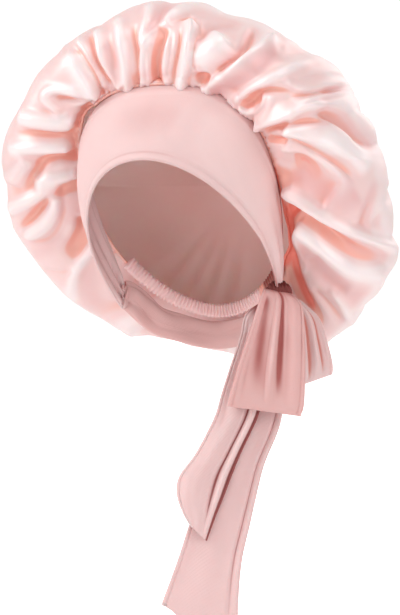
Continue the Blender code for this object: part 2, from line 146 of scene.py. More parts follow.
def wobble(angle: np.ndarray, seed: int, waves: int = 7) -> np.ndarray:
    """A smooth irregular wave round a circle, the same for the same seed.

    Args:
        angle: Angles in radians.
        seed: Which wave to draw.
        waves: How many waves of rising pitch are added up.

    Returns:
        A value between about -1 and 1 for each angle.
    """
    rng = np.random.default_rng(seed)
    total = np.zeros_like(angle)
    for k in range(1, waves + 1):
        total += rng.uniform(0.4, 1.0) * np.sin(k * angle + rng.uniform(0, 2 * math.pi))
    return total / (0.55 * waves)


def spaced(density: np.ndarray, places: np.ndarray, count: int) -> np.ndarray:
    """Spaces points out, closer together where they should lie densely.

    Args:
        density: How densely they lie at each place.
        places: Evenly spaced places.
        count: How many points to space out.

    Returns:
        The place of each point, without the last place itself.
    """
    total = np.cumsum(density)
    total = (total - total[0]) / (total[-1] - total[0])
    return np.interp(np.arange(count) / count, total, places)


def knot_centre(side: int = 1) -> np.ndarray:
    """The middle of the knot, or of the matching gather on the wearer's right."""
    return np.array((side * KNOT_SIDE, KNOT_BACK, -KNOT_DROP))


def facing_axes(facing_deg: float) -> tuple[np.ndarray, np.ndarray]:
    """The directions across and out of a piece of the bow that faces that way."""
    turn = math.radians(facing_deg)
    return np.array((math.cos(turn), math.sin(turn), 0)), np.array((math.sin(turn), -math.cos(turn), 0))


@dataclass(frozen=True)
class Loop:
    """An upright closed curve round the head, given by its reach and by how far back it stands."""

    half_width: float
    top: float
    drop: float
    front: float
    side: float
    back: float
    squareness: float
    low_squareness: float

    def points(self, angle: np.ndarray) -> np.ndarray:
        """Points of the curve. Angle 0 is at the top and 90 degrees on the wearer's left.

        Args:
            angle: Angles in radians.

        Returns:
            One point for each angle.
        """
        up = np.cos(angle)
        low = self.low_squareness + (self.squareness - self.low_squareness) * (1 + up)
        n = np.where(up > 0, self.squareness, low)
        w = power_wave(up, n)
        x = self.half_width * power_wave(np.sin(angle), n)
        z = MID_HEIGHT + w * np.where(up > 0, self.top - MID_HEIGHT, self.drop + MID_HEIGHT)
        y = self.side - (self.back - self.front) / 2 * w + ((self.front + self.back) / 2 - self.side) * w * w
        return np.stack([x, y, z], -1)


SEAM = Loop(90 * MM, 87 * MM, 105 * MM, -47 * MM, -10 * MM, 68 * MM, 2.6, 2.0)


@dataclass(frozen=True)
class View:
    """The front view: where its eye stands, and its plane in units from its top left corner."""

    distance: float = 1.8
    azimuth_deg: float = 25
    elevation_deg: float = 2
    aim_across: float = 0.011
    aim_height: float = -0.0999
    unit: float = 0.85 * MM
    across: int = 400
    down: int = 615

    def axes(self) -> tuple[np.ndarray, np.ndarray, np.ndarray]:
        """The view's own directions.

        Returns:
            To its right, up, and back to its eye.
        """
        turn, lift = math.radians(self.azimuth_deg), math.radians(self.elevation_deg)
        right = np.array((math.cos(turn), math.sin(turn), 0))
        back = np.array((math.sin(turn) * math.cos(lift), -math.cos(turn) * math.cos(lift), math.sin(lift)))
        return right, np.cross(back, right), back

    def aim(self) -> np.ndarray:
        """The point that the view looks at."""
        return self.axes()[0] * self.aim_across + np.array((0, 0, self.aim_height))

    def places(self, points: np.ndarray) -> np.ndarray:
        """Where points show in the view.

        Args:
            points: The points, in metres.

        Returns:
            Across and down for each point.
        """
        right, up, back = self.axes()
        from_aim = points - self.aim()
        size = self.distance / (self.distance - from_aim @ back) / self.unit
        return np.stack([self.across / 2 + from_aim @ right * size, self.down / 2 - from_aim @ up * size], -1)

    def facing(self, points: np.ndarray, normals: np.ndarray) -> np.ndarray:
        """How squarely the cloth at each point faces the eye, from -1 to 1."""
        eye = self.aim() + self.axes()[2] * self.distance
        return (unit(eye - points) * normals).sum(-1)


FRONT_VIEW = View()


@dataclass
class ClothGrid:
    """A wall of cloth through a grid of points."""

    points: np.ndarray
    around: bool = False
    tip: Optional[np.ndarray] = None
    outer_side: int = 1

    def faces(self) -> list[tuple[int, ...]]:
        """The grid's faces.

        Returns:
            Its quads, and a fan round its tip if it has one.
        """
        rows, across = self.points.shape[:2]
        j, i = np.meshgrid(np.arange(rows - 1), np.arange(across if self.around else across - 1), indexing="ij")
        k = (i + 1) % across
        quads = np.stack([j * across + i, j * across + k, (j + 1) * across + k, (j + 1) * across + i], -1)
        faces = [tuple(quad) for quad in quads.reshape(-1, 4).tolist()]
        if self.tip is not None:
            last, point = (rows - 1) * across, rows * across
            faces += [(last + i, last + (i + 1) % across, point) for i in range(across)]
        return faces

    def lengths(self) -> np.ndarray:
        """How far along the cloth each point lies.

        Returns:
            The way across the rows and down the columns to each point, in metres, and a zero.
        """
        p = self.points
        across = np.zeros(p.shape[:2])
        down = np.zeros(p.shape[:2])
        across[:, 1:] = np.cumsum(np.linalg.norm(np.diff(p, axis=1), axis=2), axis=1)
        down[1:] = np.cumsum(np.linalg.norm(np.diff(p, axis=0), axis=2), axis=0)
        across -= across[:, across.shape[1] // 2 :][:, :1]
        return np.stack([across, down, np.zeros_like(down)], -1)

    def depths(self, reach: float, rounds: int) -> np.ndarray:
        """How far each point stands proud of the cloth round it, as a share of a reach.

        Args:
            reach: The distance that counts as 1.
            rounds: How many times the neighbourhood is averaged, which sets how wide it is.

        Returns:
            A value for each point, less than 0 in a valley.
        """
        p = self.points
        flat = p.copy()
        for _ in range(rounds):
            if self.around:
                sides = np.roll(flat, 1, 1) + np.roll(flat, -1, 1)
            else:
                sides = np.concatenate([flat[:, :1], flat[:, :-1]], 1) + np.concatenate([flat[:, 1:], flat[:, -1:]], 1)
            ends = np.concatenate([flat[:1], flat[:-1]]) + np.concatenate([flat[1:], flat[-1:]])
            flat = 0.2 * flat + 0.2 * (sides + ends)
        normal = self.normals(flat)
        return np.clip(self.outer_side * ((p - flat) * normal).sum(-1) / reach, -1, 1)

    def normals(self, p: np.ndarray) -> np.ndarray:
        """The outward direction at each point of a grid laid out as this one is."""
        around = np.roll(p, -1, 1) - np.roll(p, 1, 1) if self.around else np.gradient(p, axis=1)
        return unit(np.cross(around, np.gradient(p, axis=0)))

    def build(
        self, name: str, wall: float, depth: Optional[np.ndarray] = None, tone: Optional[np.ndarray] = None
    ) -> bpy.types.Object:
        """Makes the mesh and links it.

        Args:
            name: The piece's name.
            wall: The cloth's thickness, half of it on either side of the grid.
            depth: How proud each point stands, less the painted shade laid on it, which sets the painted shade in the
                valleys and the painted highlight on the ridges.
            tone: Painted highlight above 0 and painted shade below 0, from -1 to 1.

        Returns:
            The new object.
        """
        mesh = bpy.data.meshes.new(name)
        points = self.points.reshape(-1, 3)
        lengths = self.lengths().reshape(-1, 3)
        proud, pale = (np.zeros(len(points)) if given is None else given.reshape(-1) for given in (depth, tone))
        if self.tip is not None:
            points = np.concatenate([points, [self.tip]])
            lengths = np.concatenate([lengths, [lengths[-1]]])
            proud, pale = np.append(proud, 0), np.append(pale, 0)
        mesh.from_pydata(points.tolist(), [], self.faces())
        mesh.attributes.new("cloth", "FLOAT_VECTOR", "POINT").data.foreach_set("vector", lengths.reshape(-1))
        mesh.attributes.new("fold", "FLOAT", "POINT").data.foreach_set("value", proud)
        mesh.attributes.new("tone", "FLOAT", "POINT").data.foreach_set("value", pale)
        mesh.shade_smooth()
        piece = bpy.data.objects.new(name, mesh)
        bpy.context.scene.collection.objects.link(piece)
        if wall:
            solidify = piece.modifiers.new("wall", "SOLIDIFY")
            solidify.thickness = wall
            solidify.offset = 0
        return piece


# Shader groups that the finishes share


def new_group(name: str, inputs: Sequence[tuple], outputs: Sequence[tuple]) -> bpy.types.NodeTree:
    """Makes an empty shader node group.

    Args:
        name: The group's name.
        inputs: Name, socket kind and default value of each input.
        outputs: Name and socket kind of each output.

    Returns:
        The group, with its input and output nodes.
    """
    group = bpy.data.node_groups.new(name, "ShaderNodeTree")
    for label, kind, value in inputs:
        socket = group.interface.new_socket(label, in_out="INPUT", socket_type=kind)
        socket.default_value = value
    for label, kind in outputs:
        group.interface.new_socket(label, in_out="OUTPUT", socket_type=kind)
    group.nodes.new("NodeGroupInput").name = "in"
    group.nodes.new("NodeGroupOutput").name = "out"
    return group


def add_node(tree: bpy.types.NodeTree, kind: str, **settings: object) -> bpy.types.Node:
    """Adds a node.

    Args:
        tree: The tree to add it to.
        kind: The node's type.
        **settings: Its properties.

    Returns:
        The node.
    """
    node = tree.nodes.new(kind)
    for key, value in settings.items():
        setattr(node, key, value)
    return node


def set_inputs(node: bpy.types.Node, values: dict[str, object]) -> None:
    """Sets inputs of a node by their names."""
    for label, value in values.items():
        node.inputs[label].default_value = value


def add_range(
    tree: bpy.types.NodeTree,
    source: bpy.types.NodeSocket,
    given: tuple[float, float],
    wanted: tuple[float, float] = (0.0, 1.0),
    step: str = "LINEAR",
) -> bpy.types.NodeSocket:
    """Adds a Map Range node.

    Args:
        tree: The tree to add it to.
        source: The value to map.
        given: The two ends that the value is mapped from.
        wanted: The two ends that it is mapped to.
        step: How it goes from one to the other.

    Returns:
        The mapped value.
    """
    node = add_node(tree, "ShaderNodeMapRange", interpolation_type=step)
    set_inputs(node, {"From Min": given[0], "From Max": given[1], "To Min": wanted[0], "To Max": wanted[1]})
    tree.links.new(source, node.inputs["Value"])
    return node.outputs["Result"]


def add_math(tree: bpy.types.NodeTree, operation: str, *values: object) -> bpy.types.NodeSocket:
    """Adds a Math node.

    Args:
        tree: The tree to add it to.
        operation: What it works out.
        *values: Its inputs, each a number or another node's output.

    Returns:
        The result.
    """
    node = add_node(tree, "ShaderNodeMath", operation=operation)
    for place, value in enumerate(values):
        if isinstance(value, bpy.types.NodeSocket):
            tree.links.new(value, node.inputs[place])
        else:
            node.inputs[place].default_value = value
    return node.outputs[0]


def add_noise(
    tree: bpy.types.NodeTree, vector: bpy.types.NodeSocket, scale: float, detail: float
) -> bpy.types.NodeSocket:
    """Adds a noise texture.

    Args:
        tree: The tree to add it to.
        vector: Where to read it.
        scale: Its scale.
        detail: Its detail.

    Returns:
        Its value.
    """
    node = add_node(tree, "ShaderNodeTexNoise")
    set_inputs(node, {"Scale": scale, "Detail": detail})
    tree.links.new(vector, node.inputs["Vector"])
    return node.outputs["Fac"]


class ShaderGroups:
    """The node groups that more than one finish uses, built once."""

    def __init__(self) -> None:
        """Builds the groups."""
        self.painted_fold_shading = self.make_painted_fold_shading()
        self.jersey_knit = self.make_jersey_knit()
        self.satin_weave = self.make_satin_weave()

    def make_painted_fold_shading(self) -> bpy.types.NodeTree:
        """Makes painted light and shade in the cloth's colour: painted warm shade and glow in the valleys and a painted
        highlight on the ridges, with painted shade and highlight from the tone.

        Returns:
            The group.
        """
        group = new_group(
            "painted_fold_shading",
            [
                # Valley, Deep and Shade are painted shade and glow; Ridge is a painted highlight
                ("Cloth", "NodeSocketColor", (0.9, 0.7, 0.7, 1)),
                ("Valley", "NodeSocketColor", (0.9, 0.4, 0.3, 1)),
                ("Ridge", "NodeSocketColor", (1, 0.9, 0.9, 1)),
                ("Deep", "NodeSocketColor", (0.6, 0.1, 0.1, 1)),
                ("Shade", "NodeSocketColor", (0.8, 0.5, 0.5, 1)),
                ("Valley Amount", "NodeSocketFloat", 0.5),
                ("Ridge Amount", "NodeSocketFloat", 0.3),
            ],
            [("Color", "NodeSocketColor")],
        )
        given = group.nodes["in"].outputs
        fold = add_node(group, "ShaderNodeAttribute", attribute_name="fold").outputs["Fac"]
        tone = add_node(group, "ShaderNodeAttribute", attribute_name="tone").outputs["Fac"]
        high = add_range(group, fold, (0.05, 0.8), step="SMOOTHSTEP")
        low = add_range(group, fold, (-0.08, -0.75), step="SMOOTHSTEP")
        colour = given["Cloth"]
        # painted highlight on the ridges, painted shade in the valleys and where the tone is below 0, painted highlight
        # where it is above 0, and the darkest painted shade and glow in the deepest creases
        for mask, name in (
            (add_math(group, "MULTIPLY", high, given["Ridge Amount"]), "Ridge"),
            (add_math(group, "MULTIPLY", low, given["Valley Amount"]), "Valley"),
            (add_range(group, tone, (0.0, -1.0), (0.0, 0.65)), "Shade"),
            (add_range(group, tone, (0.0, 1.0), (0.0, 0.85)), "Ridge"),
            (add_range(group, fold, (-2.35, -3.3), (0.0, 0.85)), "Deep"),
        ):
            mixed = add_node(group, "ShaderNodeMix", data_type="RGBA")
            for source, label in ((mask, "Factor"), (colour, "A"), (given[name], "B")):
                group.links.new(source, mixed.inputs[label])
            colour = mixed.outputs["Result"]
        group.links.new(colour, group.nodes["out"].inputs["Color"])
        return group

    def make_jersey_knit(self) -> bpy.types.NodeTree:
        """Makes fine knit: wales along the cloth crossed by courses, a little uneven, and faint patches of shade.

        Returns:
            The group.
        """
        group = new_group(
            "jersey_knit",
            [("Pitch", "NodeSocketFloat", 0.0011), ("Unevenness", "NodeSocketFloat", 0.25)],
            [("Height", "NodeSocketFloat"), ("Shade", "NodeSocketFloat")],
        )
        link = group.links.new
        given, out = group.nodes["in"].outputs, group.nodes["out"].inputs
        cloth = add_node(group, "ShaderNodeAttribute", attribute_name="cloth").outputs["Vector"]
        waves = add_node(group, "ShaderNodeVectorMath", operation="SCALE")
        link(cloth, waves.inputs[0])
        link(add_math(group, "DIVIDE", 2 * math.pi, given["Pitch"]), waves.inputs["Scale"])
        split = add_node(group, "ShaderNodeSeparateXYZ")
        link(waves.outputs["Vector"], split.inputs[0])
        wale, course = (add_math(group, "SINE", split.outputs[axis]) for axis in "XY")
        stitch = add_math(group, "MULTIPLY_ADD", wale, 0.65, course)
        uneven = add_noise(group, cloth, scale=420, detail=3)
        link(add_math(group, "MULTIPLY_ADD", uneven, given["Unevenness"], stitch), out["Height"])
        link(add_noise(group, cloth, scale=26, detail=4), out["Shade"])
        return group

    def make_satin_weave(self) -> bpy.types.NodeTree:
        """Makes satin's slow changes in how tightly its long floats lie.

        Returns:
            The group.
        """
        group = new_group("satin_weave", [("Scale", "NodeSocketFloat", 34.0)], [("Gloss", "NodeSocketFloat")])
        cloth = add_node(group, "ShaderNodeAttribute", attribute_name="cloth").outputs["Vector"]
        lie = add_node(group, "ShaderNodeTexNoise")
        set_inputs(lie, {"Detail": 3})
        group.links.new(cloth, lie.inputs["Vector"])
        group.links.new(group.nodes["in"].outputs["Scale"], lie.inputs["Scale"])
        group.links.new(lie.outputs["Fac"], group.nodes["out"].inputs["Gloss"])
        return group


@dataclass(frozen=True)
class ClothFinish:
    """What every cloth's finish has: its colour laid flat, painted shade and glow in its folds and a painted highlight
    on its ridges.
    """

    name: str
    cloth: Colour
    # valley, deep and shade are painted shade and glow; ridge is a painted highlight
    valley: Colour
    ridge: Colour
    valley_amount: float
    ridge_amount: float
    deep: Colour = (0.13, 0.02, 0.018)
    shade: Colour = (0.8, 0.5, 0.5)

    def begin(self, groups: ShaderGroups) -> tuple[bpy.types.Material, bpy.types.NodeSocket]:
        """Makes a material that has its painted light and shade from the folds so far.

        Args:
            groups: The shader groups.

        Returns:
            The material, and the colour for its shader.
        """
        material = bpy.data.materials.new(self.name)
        material.use_nodes = True
        colour = add_node(material.node_tree, "ShaderNodeGroup", node_tree=groups.painted_fold_shading)
        for label in ("Cloth", "Valley", "Ridge", "Deep", "Shade"):
            colour.inputs[label].default_value = (*getattr(self, label.lower()), 1)
        set_inputs(colour, {"Valley Amount": self.valley_amount, "Ridge Amount": self.ridge_amount})
        return material, colour.outputs["Color"]


@dataclass(frozen=True)
class SatinFinish(ClothFinish):
    """Glossy light satin."""

    # painted glow in the deepest creases and painted shade where the tone is below 0
    deep: Colour = (0.98, 0.22, 0.16)
    shade: Colour = (0.78, 0.42, 0.42)
    roughness: float = 0.42
    roughness_change: float = 0.04
    lustre: float = 0.22

    def material(self, groups: ShaderGroups) -> bpy.types.Material:
        """Makes the material.

        Args:
            groups: The shader groups.

        Returns:
            The material.
        """
        material, colour = self.begin(groups)
        tree = material.node_tree
        shader = tree.nodes["Principled BSDF"]
        tree.links.new(colour, shader.inputs["Base Color"])
        weave = add_node(tree, "ShaderNodeGroup", node_tree=groups.satin_weave)
        range_ends = (self.roughness - self.roughness_change, self.roughness + self.roughness_change)
        gloss = add_range(tree, weave.outputs["Gloss"], (0.3, 0.7), range_ends)
        tree.links.new(gloss, shader.inputs["Roughness"])
        values = {
            "Metallic": self.lustre,
            "Sheen Weight": 0.1,
            "Sheen Roughness": 0.4,
            "Sheen Tint": (1.0, 0.86, 0.84, 1),
            "Subsurface Weight": 0.4,
            "Subsurface Radius": (1.0, 0.4, 0.3),
            "Subsurface Scale": 0.005,
        }
        set_inputs(shader, values)
        return material


@dataclass(frozen=True)
class JerseyFinish(ClothFinish):
    """Soft matte stretch jersey."""

    roughness: float = 0.78
    knit_pitch: float = 1.1 * MM
    knit_depth: float = 0.2 * MM
    knit_strength: float = 0.35
    patches: tuple[float, float] = (0.94, 1.03)

    def material(self, groups: ShaderGroups) -> bpy.types.Material:
        """Makes the material.

        Args:
            groups: The shader groups.

        Returns:
            The material.
        """
        material, colour = self.begin(groups)
        tree = material.node_tree
        link = tree.links.new
        shader = tree.nodes["Principled BSDF"]
        knit = add_node(tree, "ShaderNodeGroup", node_tree=groups.jersey_knit)
        set_inputs(knit, {"Pitch": self.knit_pitch})
        tone = add_node(tree, "ShaderNodeVectorMath", operation="SCALE")
        link(colour, tone.inputs[0])
        link(add_range(tree, knit.outputs["Shade"], (0.0, 1.0), self.patches), tone.inputs["Scale"])
        link(tone.outputs["Vector"], shader.inputs["Base Color"])
        bump = add_node(tree, "ShaderNodeBump")
        set_inputs(bump, {"Strength": self.knit_strength, "Distance": self.knit_depth})
        link(knit.outputs["Height"], bump.inputs["Height"])
        link(bump.outputs["Normal"], shader.inputs["Normal"])
        values = {
            "Roughness": self.roughness,
            "Specular IOR Level": 0.12,
            "Subsurface Weight": 0.2,
            "Subsurface Radius": (1.0, 0.3, 0.25),
            "Subsurface Scale": 0.005,
            "Sheen Weight": 0.1,
            "Sheen Roughness": 0.45,
            "Sheen Tint": (1.0, 0.84, 0.84, 1),
        }
        set_inputs(shader, values)
        return material


# The crown

CREST_BLUNTNESS = 0.07


class FoldKind(Enum):
    """The cut across a fold."""

    ROUND = "a soft swell"
    CREST = "a taut ridge with a narrow top"


def fold_profile(kind: FoldKind, distance: np.ndarray) -> np.ndarray:
    """The height across a fold.

    Args:
        kind: Its cut.
        distance: How far off its middle each place is, as a share of its half width.

    Returns:
        A height for each place, 1 in the middle and 0 from one half width.
    """
    near = np.clip(np.abs(distance), 0, 1)
    if kind is FoldKind.ROUND:
        return (1 - near * near) ** 2
    narrow = np.clip(1 + CREST_BLUNTNESS - np.sqrt(near * near + CREST_BLUNTNESS * CREST_BLUNTNESS), 0, 1) ** 1.3
    return narrow * (1 - near**8)


R, C = FoldKind.ROUND, FoldKind.CREST


@dataclass
class Crown:
    """The satin crown, gathered on to the band and puffed out round the head."""

    half_width: float = 174 * MM
    top: float = 158 * MM
    drop: float = 140 * MM
    depth: float = 170 * MM
    front: float = -60 * MM
    pole_back: float = 1.07
    wall: float = 0.9 * MM
    around: int = 500
    out: int = 94
    rim_share: float = 0.5
    fold_reach: float = 4 * MM
    fold_rounds: int = 50
    fine_from_deg: float = -128
    fine_to_deg: float = 152
    fine_fade_deg: float = 14
    fine_density: float = 1.5
    front_density: float = 2.2
    seam_density: float = 2.5
    swell: float = 1.6 * MM
    back_ripple: float = 4.5 * MM
    back_ripples: float = 11.5
    plain_at_deg: float = 108
    plain_spread_deg: float = 32
    pucker_reach: float = 1.6 * MM
    lip_width: float = 1.8 * MM
    lip_roll: float = 1.3 * MM
    lip_tilt: tuple[float, float] = (0.79, 0.61)
    lip_painted_glow: float = 0.7
    pole_fade: float = 0.35

    RINGS: Rows = (
        # across, top, bottom, back_at_top, back_at_side, back_at_bottom, squareness
        (0.605, 0.645, 0.835, 0.020, 0.200, 0.800, 2.4),
        (0.745, 0.790, 0.905, 0.000, 0.150, 0.840, 2.3),
        (0.885, 0.910, 0.965, 0.080, 0.200, 0.880, 2.2),
        (0.970, 0.980, 1.000, 0.240, 0.340, 0.940, 2.2),
        (1.000, 1.000, 0.985, 0.420, 0.500, 1.020, 2.2),
        (0.930, 0.920, 0.860, 0.660, 0.700, 1.100, 2.1),
        (0.720, 0.720, 0.560, 0.880, 0.920, 1.130, 2.0),
        (0.380, 0.400, 0.230, 1.020, 1.040, 1.120, 2.0),
    )
    LOBES: Rows = (
        # at_deg, spread_deg, reach_share
        (34, 46, -0.070),
        (78, 38, -0.060),
        (113, 20, 0.040),
        (142, 42, 0.070),
        (-38, 12, -0.050),
        (-86, 30, 0.025),
        (-122, 40, 0.050),
    )
    # how far the outline stands out between its folds, as a share of its reach, at even steps
    RIM_DEG: Sequence[float] = (-150, *range(-138, 139, 6), 146, 156)
    RIM: Sequence[float] = (
        0.000,
        0.012, 0.019, 0.021, 0.015, 0.018, 0.026, 0.040, 0.016, -0.010, 0.007, -0.004, -0.020,
        -0.040, -0.046, -0.038, -0.033, -0.002, 0.022, -0.005, -0.031, -0.006, 0.016, 0.020, 0.001,
        -0.018, -0.026, -0.026, -0.020, -0.027, -0.018, -0.027, -0.008, 0.018, -0.022, -0.010, 0.001,
        0.018, 0.005, 0.016, 0.011, -0.013, -0.028, -0.022, -0.033, -0.054, -0.052, -0.050,
        -0.040, 0.000,
    )
    FOLDS: Sequence[tuple] = (
        # near_deg, middle_deg, far_deg, start, end, half_width_deg, lean, height_mm, kind
        (152.0, 154.0, 156.0, 0.080, 0.62, 7.0, 0.3, 9.0, C),
        (166.0, 166.0, 164.0, 0.080, 0.54, 5.0, 0.0, -7.0, R),
        (178.0, 178.0, 179.0, 0.080, 0.62, 8.0, -0.3, 9.0, C),
        (-163.0, -163.0, -163.0, 0.080, 0.54, 5.0, 0.0, -7.0, R),
        (-148.0, -149.0, -151.0, 0.080, 0.64, 8.0, 0.3, 10.0, C),
    )
    CREASES: Sequence[tuple] = (
        # height_mm, left, right, kind, warmth, first_fade, last_fade, then across and down of each point; warmth is
        # painted warm shade and glow in the crease, and a painted highlight where it is below 0
        # high on the wearer's right
        (5.0, 5, 15, C, 0.0, 0.05, 0.2, 121, 88, 110, 76, 101, 58, 97, 40, 96, 28),
        (-5.0, 5, 4, R, 0.35, 0.1, 0.2, 113, 84, 104, 72, 96, 58, 92, 42, 91, 32),
        (4.0, 4, 8, C, 0.0, 0.1, 0.2, 104, 90, 97, 78, 88, 64, 81, 50, 77, 36),
        (-4.5, 4, 4, R, 0.9, 0.05, 0.2, 103, 96, 99, 83, 92, 70, 83, 56, 77, 44),
        (9.0, 34, 4.5, C, -0.3, 0.1, 0.3, 98, 98, 90, 82, 79, 66, 69, 48),
        (-2.0, 10, 9, R, 0.1, 0.2, 0.3, 112, 76, 112, 60, 110, 46, 108, 34),
        (6.0, 11, 6, C, -0.3, 0.05, 0.2, 129, 90, 127, 70, 124, 50, 121, 32, 119, 14),
        (-4.5, 4, 4, R, 0.55, 0.05, 0.3, 139, 86, 139, 66, 137, 50, 134, 34, 134, 22),
        (5.0, 5, 16, C, 0.0, 0.2, 0.2, 139, 50, 143, 32, 147, 18, 149, 2),
        (-2.5, 7, 7, R, 0.15, 0.2, 0.2, 146, 44, 152, 30, 162, 17, 176, 4),
        # the long ridge that sweeps over the top
        (5.5, 4, 3.5, C, -0.2, 0.05, 0.4, 143, 86, 141, 68, 143, 52, 150, 37, 160, 26, 172, 17),
        (4.5, 3.5, 3.5, C, -0.2, 0.05, 0.3, 152, 82, 149, 66, 151, 52, 157, 38, 165, 27, 173, 20),
        (-1.5, 2.5, 2.5, R, 0.1, 0.1, 0.3, 146, 78, 145, 62, 149, 46, 157, 33, 165, 25),
        (6.5, 14, 7, R, -0.3, 0.2, 0.4, 160, 24, 178, 15, 196, 11, 216, 12, 238, 19),
        (-3.5, 2.5, 2.5, C, 0.25, 0.15, 0.3, 166, 24, 178, 20, 191, 19, 199, 25, 200, 36),
        # the lens and the ridges beside it
        (-8.0, 7.5, 7.5, R, 1.3, 0.05, 0.15, 157, 88, 155, 68, 157, 50, 162, 35, 165, 25),
        (4.0, 3, 3, C, 0.0, 0.05, 0.1, 163, 86, 165, 66, 167, 48, 168, 25),
        (-1.5, 2.2, 2.2, R, 0.2, 0.1, 0.2, 167, 80, 169, 62, 171, 46, 172, 30),
        (2.0, 3, 3, R, 0.0, 0.05, 0.2, 169, 84, 172, 62, 175, 46, 177, 25),
        (-4.0, 3.5, 3.5, R, 0.6, 0.05, 0.2, 173, 86, 175, 66, 179, 48, 181, 28),
        (7.5, 13, 3, C, -0.2, 0.03, 0.08, 184, 88, 188, 66, 191, 44, 193, 21),
        (-3.0, 2, 3, R, 0.1, 0.1, 0.1, 195, 34, 194, 50, 194, 64, 198, 70),
        # the broad lobe and the round pocket under it
        (6.0, 20, 17, R, -0.45, 0.0, 0.1, 205, 60, 213, 50, 224, 38),
        (-3.5, 8, 8, R, 0.1, 0.2, 0.2, 200, 44, 206, 30, 222, 23, 245, 25),
        (-5.0, 7, 7, R, 0.25, 0.1, 0.2, 218, 73, 232, 61, 244, 48, 251, 36, 257, 24),
        (-6.0, 8.5, 8.5, R, 1.3, 0.0, 0.0, 202, 77, 205, 77),
        (2.5, 2, 2, C, -0.2, 0.15, 0.1, 195, 68, 202, 70.5, 209, 70.5, 213, 75, 213, 82),
        # the straight ridge and the flat face beside it
        (7.5, 5, 25, C, -0.25, 0.03, 0.15, 200, 92, 225, 72.5, 250, 55.5, 266, 45, 276, 34),
        (-1.5, 10, 10, R, 0.0, 0.08, 0.25, 218, 98, 240, 82, 262, 69, 280, 56),
        (-3.0, 4, 4, R, 0.1, 0.2, 0.2, 246, 19, 264, 24, 275, 34, 279, 46, 275, 58),
        (6.0, 9, 3.5, C, -0.1, 0.03, 0.4, 236, 102, 250, 91, 264, 84, 284, 75, 304, 66, 326, 56),
        (-4.0, 2.5, 8, R, 0.65, 0.1, 0.4, 247, 97, 262, 89, 280, 88, 300, 93, 322, 96),
        # the curled shell
        (-5.0, 7.5, 7.5, R, 1.3, 0.0, 0.0, 247, 104, 257, 98),
        (3.5, 2.2, 2.2, C, -0.2, 0.1, 0.1, 238, 107, 248, 112.5, 258, 110.5, 264, 103, 262, 93),
        (2.0, 1.8, 1.8, C, 0.0, 0.1, 0.1, 240, 105, 247, 99, 255, 95),
        (2.5, 5, 5, R, -0.2, 0.2, 0.2, 262, 120, 269, 108, 271, 94),
        # folds across the wearer's left, high up
        (3.5, 6, 6, R, -0.1, 0.2, 0.3, 280, 92, 304, 91, 326, 85, 350, 79),
        (-2.5, 6, 6, R, 0.0, 0.2, 0.3, 288, 80, 310, 77, 334, 71),
        (-3.0, 2.2, 3, C, 0.15, 0.15, 0.1, 300, 108, 318, 102, 336, 98, 354, 95),
        (2.5, 4, 1.8, C, -0.1, 0.15, 0.1, 300, 105.5, 318, 99.5, 336, 95.5, 352, 92),
        (-2.5, 6, 5, R, 0.1, 0.2, 0.2, 318, 93, 334, 90, 350, 86),
        (7.5, 17, 3.5, C, -0.2, 0.03, 0.4, 258, 128, 280, 120, 304, 111, 330, 107, 356, 114),
        (-4.5, 2.5, 8, R, 0.85, 0.08, 0.5, 264, 128, 284, 124, 305, 120, 322, 121, 336, 128),
        (-6.5, 18, 6, R, 0.3, 0.2, 0.2, 314, 113, 330, 117, 346, 128, 358, 141, 378, 149),
        (10.0, 24, 5, C, -0.4, 0.05, 0.25, 284, 130, 308, 138, 330, 148, 350, 162, 364, 176),
        (-4.0, 2.5, 4, C, 0.25, 0.1, 0.3, 288, 135, 310, 147, 330, 159, 347, 171, 354, 184),
        (2.5, 3, 3, R, 0.0, 0.1, 0.3, 304, 150, 322, 160, 336, 171, 346, 186),
        (-5.0, 5, 5, R, 2.3, 0.0, 0.0, 272, 139, 284, 140),
        (2.5, 2, 2, C, 0.0, 0.1, 0.1, 264, 131, 277, 130, 287, 136, 288, 146, 281, 150),
        # the big hollow
        (-8.0, 30, 26, R, 0.2, 0.0, 0.1, 298, 174, 316, 186, 332, 198),
        (-2.5, 12, 10, R, 2.1, 0.1, 0.5, 292, 163, 302, 164, 310, 171, 318, 184),
        (2.5, 2.5, 2, C, 0.0, 0.1, 0.3, 282, 150, 300, 153, 316, 159, 330, 172, 340, 188),
        (3.0, 2.4, 2.4, C, 0.0, 0.05, 0.3, 280, 178, 286, 190, 297, 199, 312, 207, 332, 213, 350, 210),
        (-3.5, 7, 4, R, 0.1, 0.2, 0.2, 360, 230, 367, 212, 374, 195, 379, 174),
        (3.5, 2.5, 2.5, C, -0.4, 0.1, 0.1, 366, 226, 373, 213, 381, 200, 388, 184, 390, 172),
        (-2.5, 3, 3, R, 0.1, 0.2, 0.2, 372, 225, 382, 213, 390, 196),
        # the ridge that runs to the tip, the deep fold and the lobe below it
        (7.5, 9, 4, C, -0.1, 0.05, 0.1, 283, 190, 301, 204, 326, 219, 350, 232, 375, 243, 400, 251),
        (-9.0, 9, 12, R, 1.5, 0.08, 0.6, 290, 204, 310, 220, 330, 234, 350, 247, 372, 255, 396, 258),
        (10.0, 7, 30, C, -0.5, 0.05, 0.1, 298, 225, 312, 231, 326, 244, 341, 257, 358, 268, 388, 269),
        (-5.0, 8, 9, R, 3.8, 0.06, 0.25, 288, 198, 289, 232, 292, 258, 300, 284, 311, 306, 324, 328),
        (2.0, 2, 2, C, 0.0, 0.2, 0.2, 300, 234, 303, 252, 307, 265, 302, 274),
        (-3.0, 16, 14, R, 0.0, 0.1, 0.2, 312, 252, 328, 276, 350, 288),
        (-3.0, 6, 5, R, 0.1, 0.2, 0.1, 312, 288, 328, 305, 343, 322),
        (3.5, 4, 5, R, -0.2, 0.2, 0.1, 330, 288, 342, 304, 352, 324),
        # the wearer's right, from the notch down
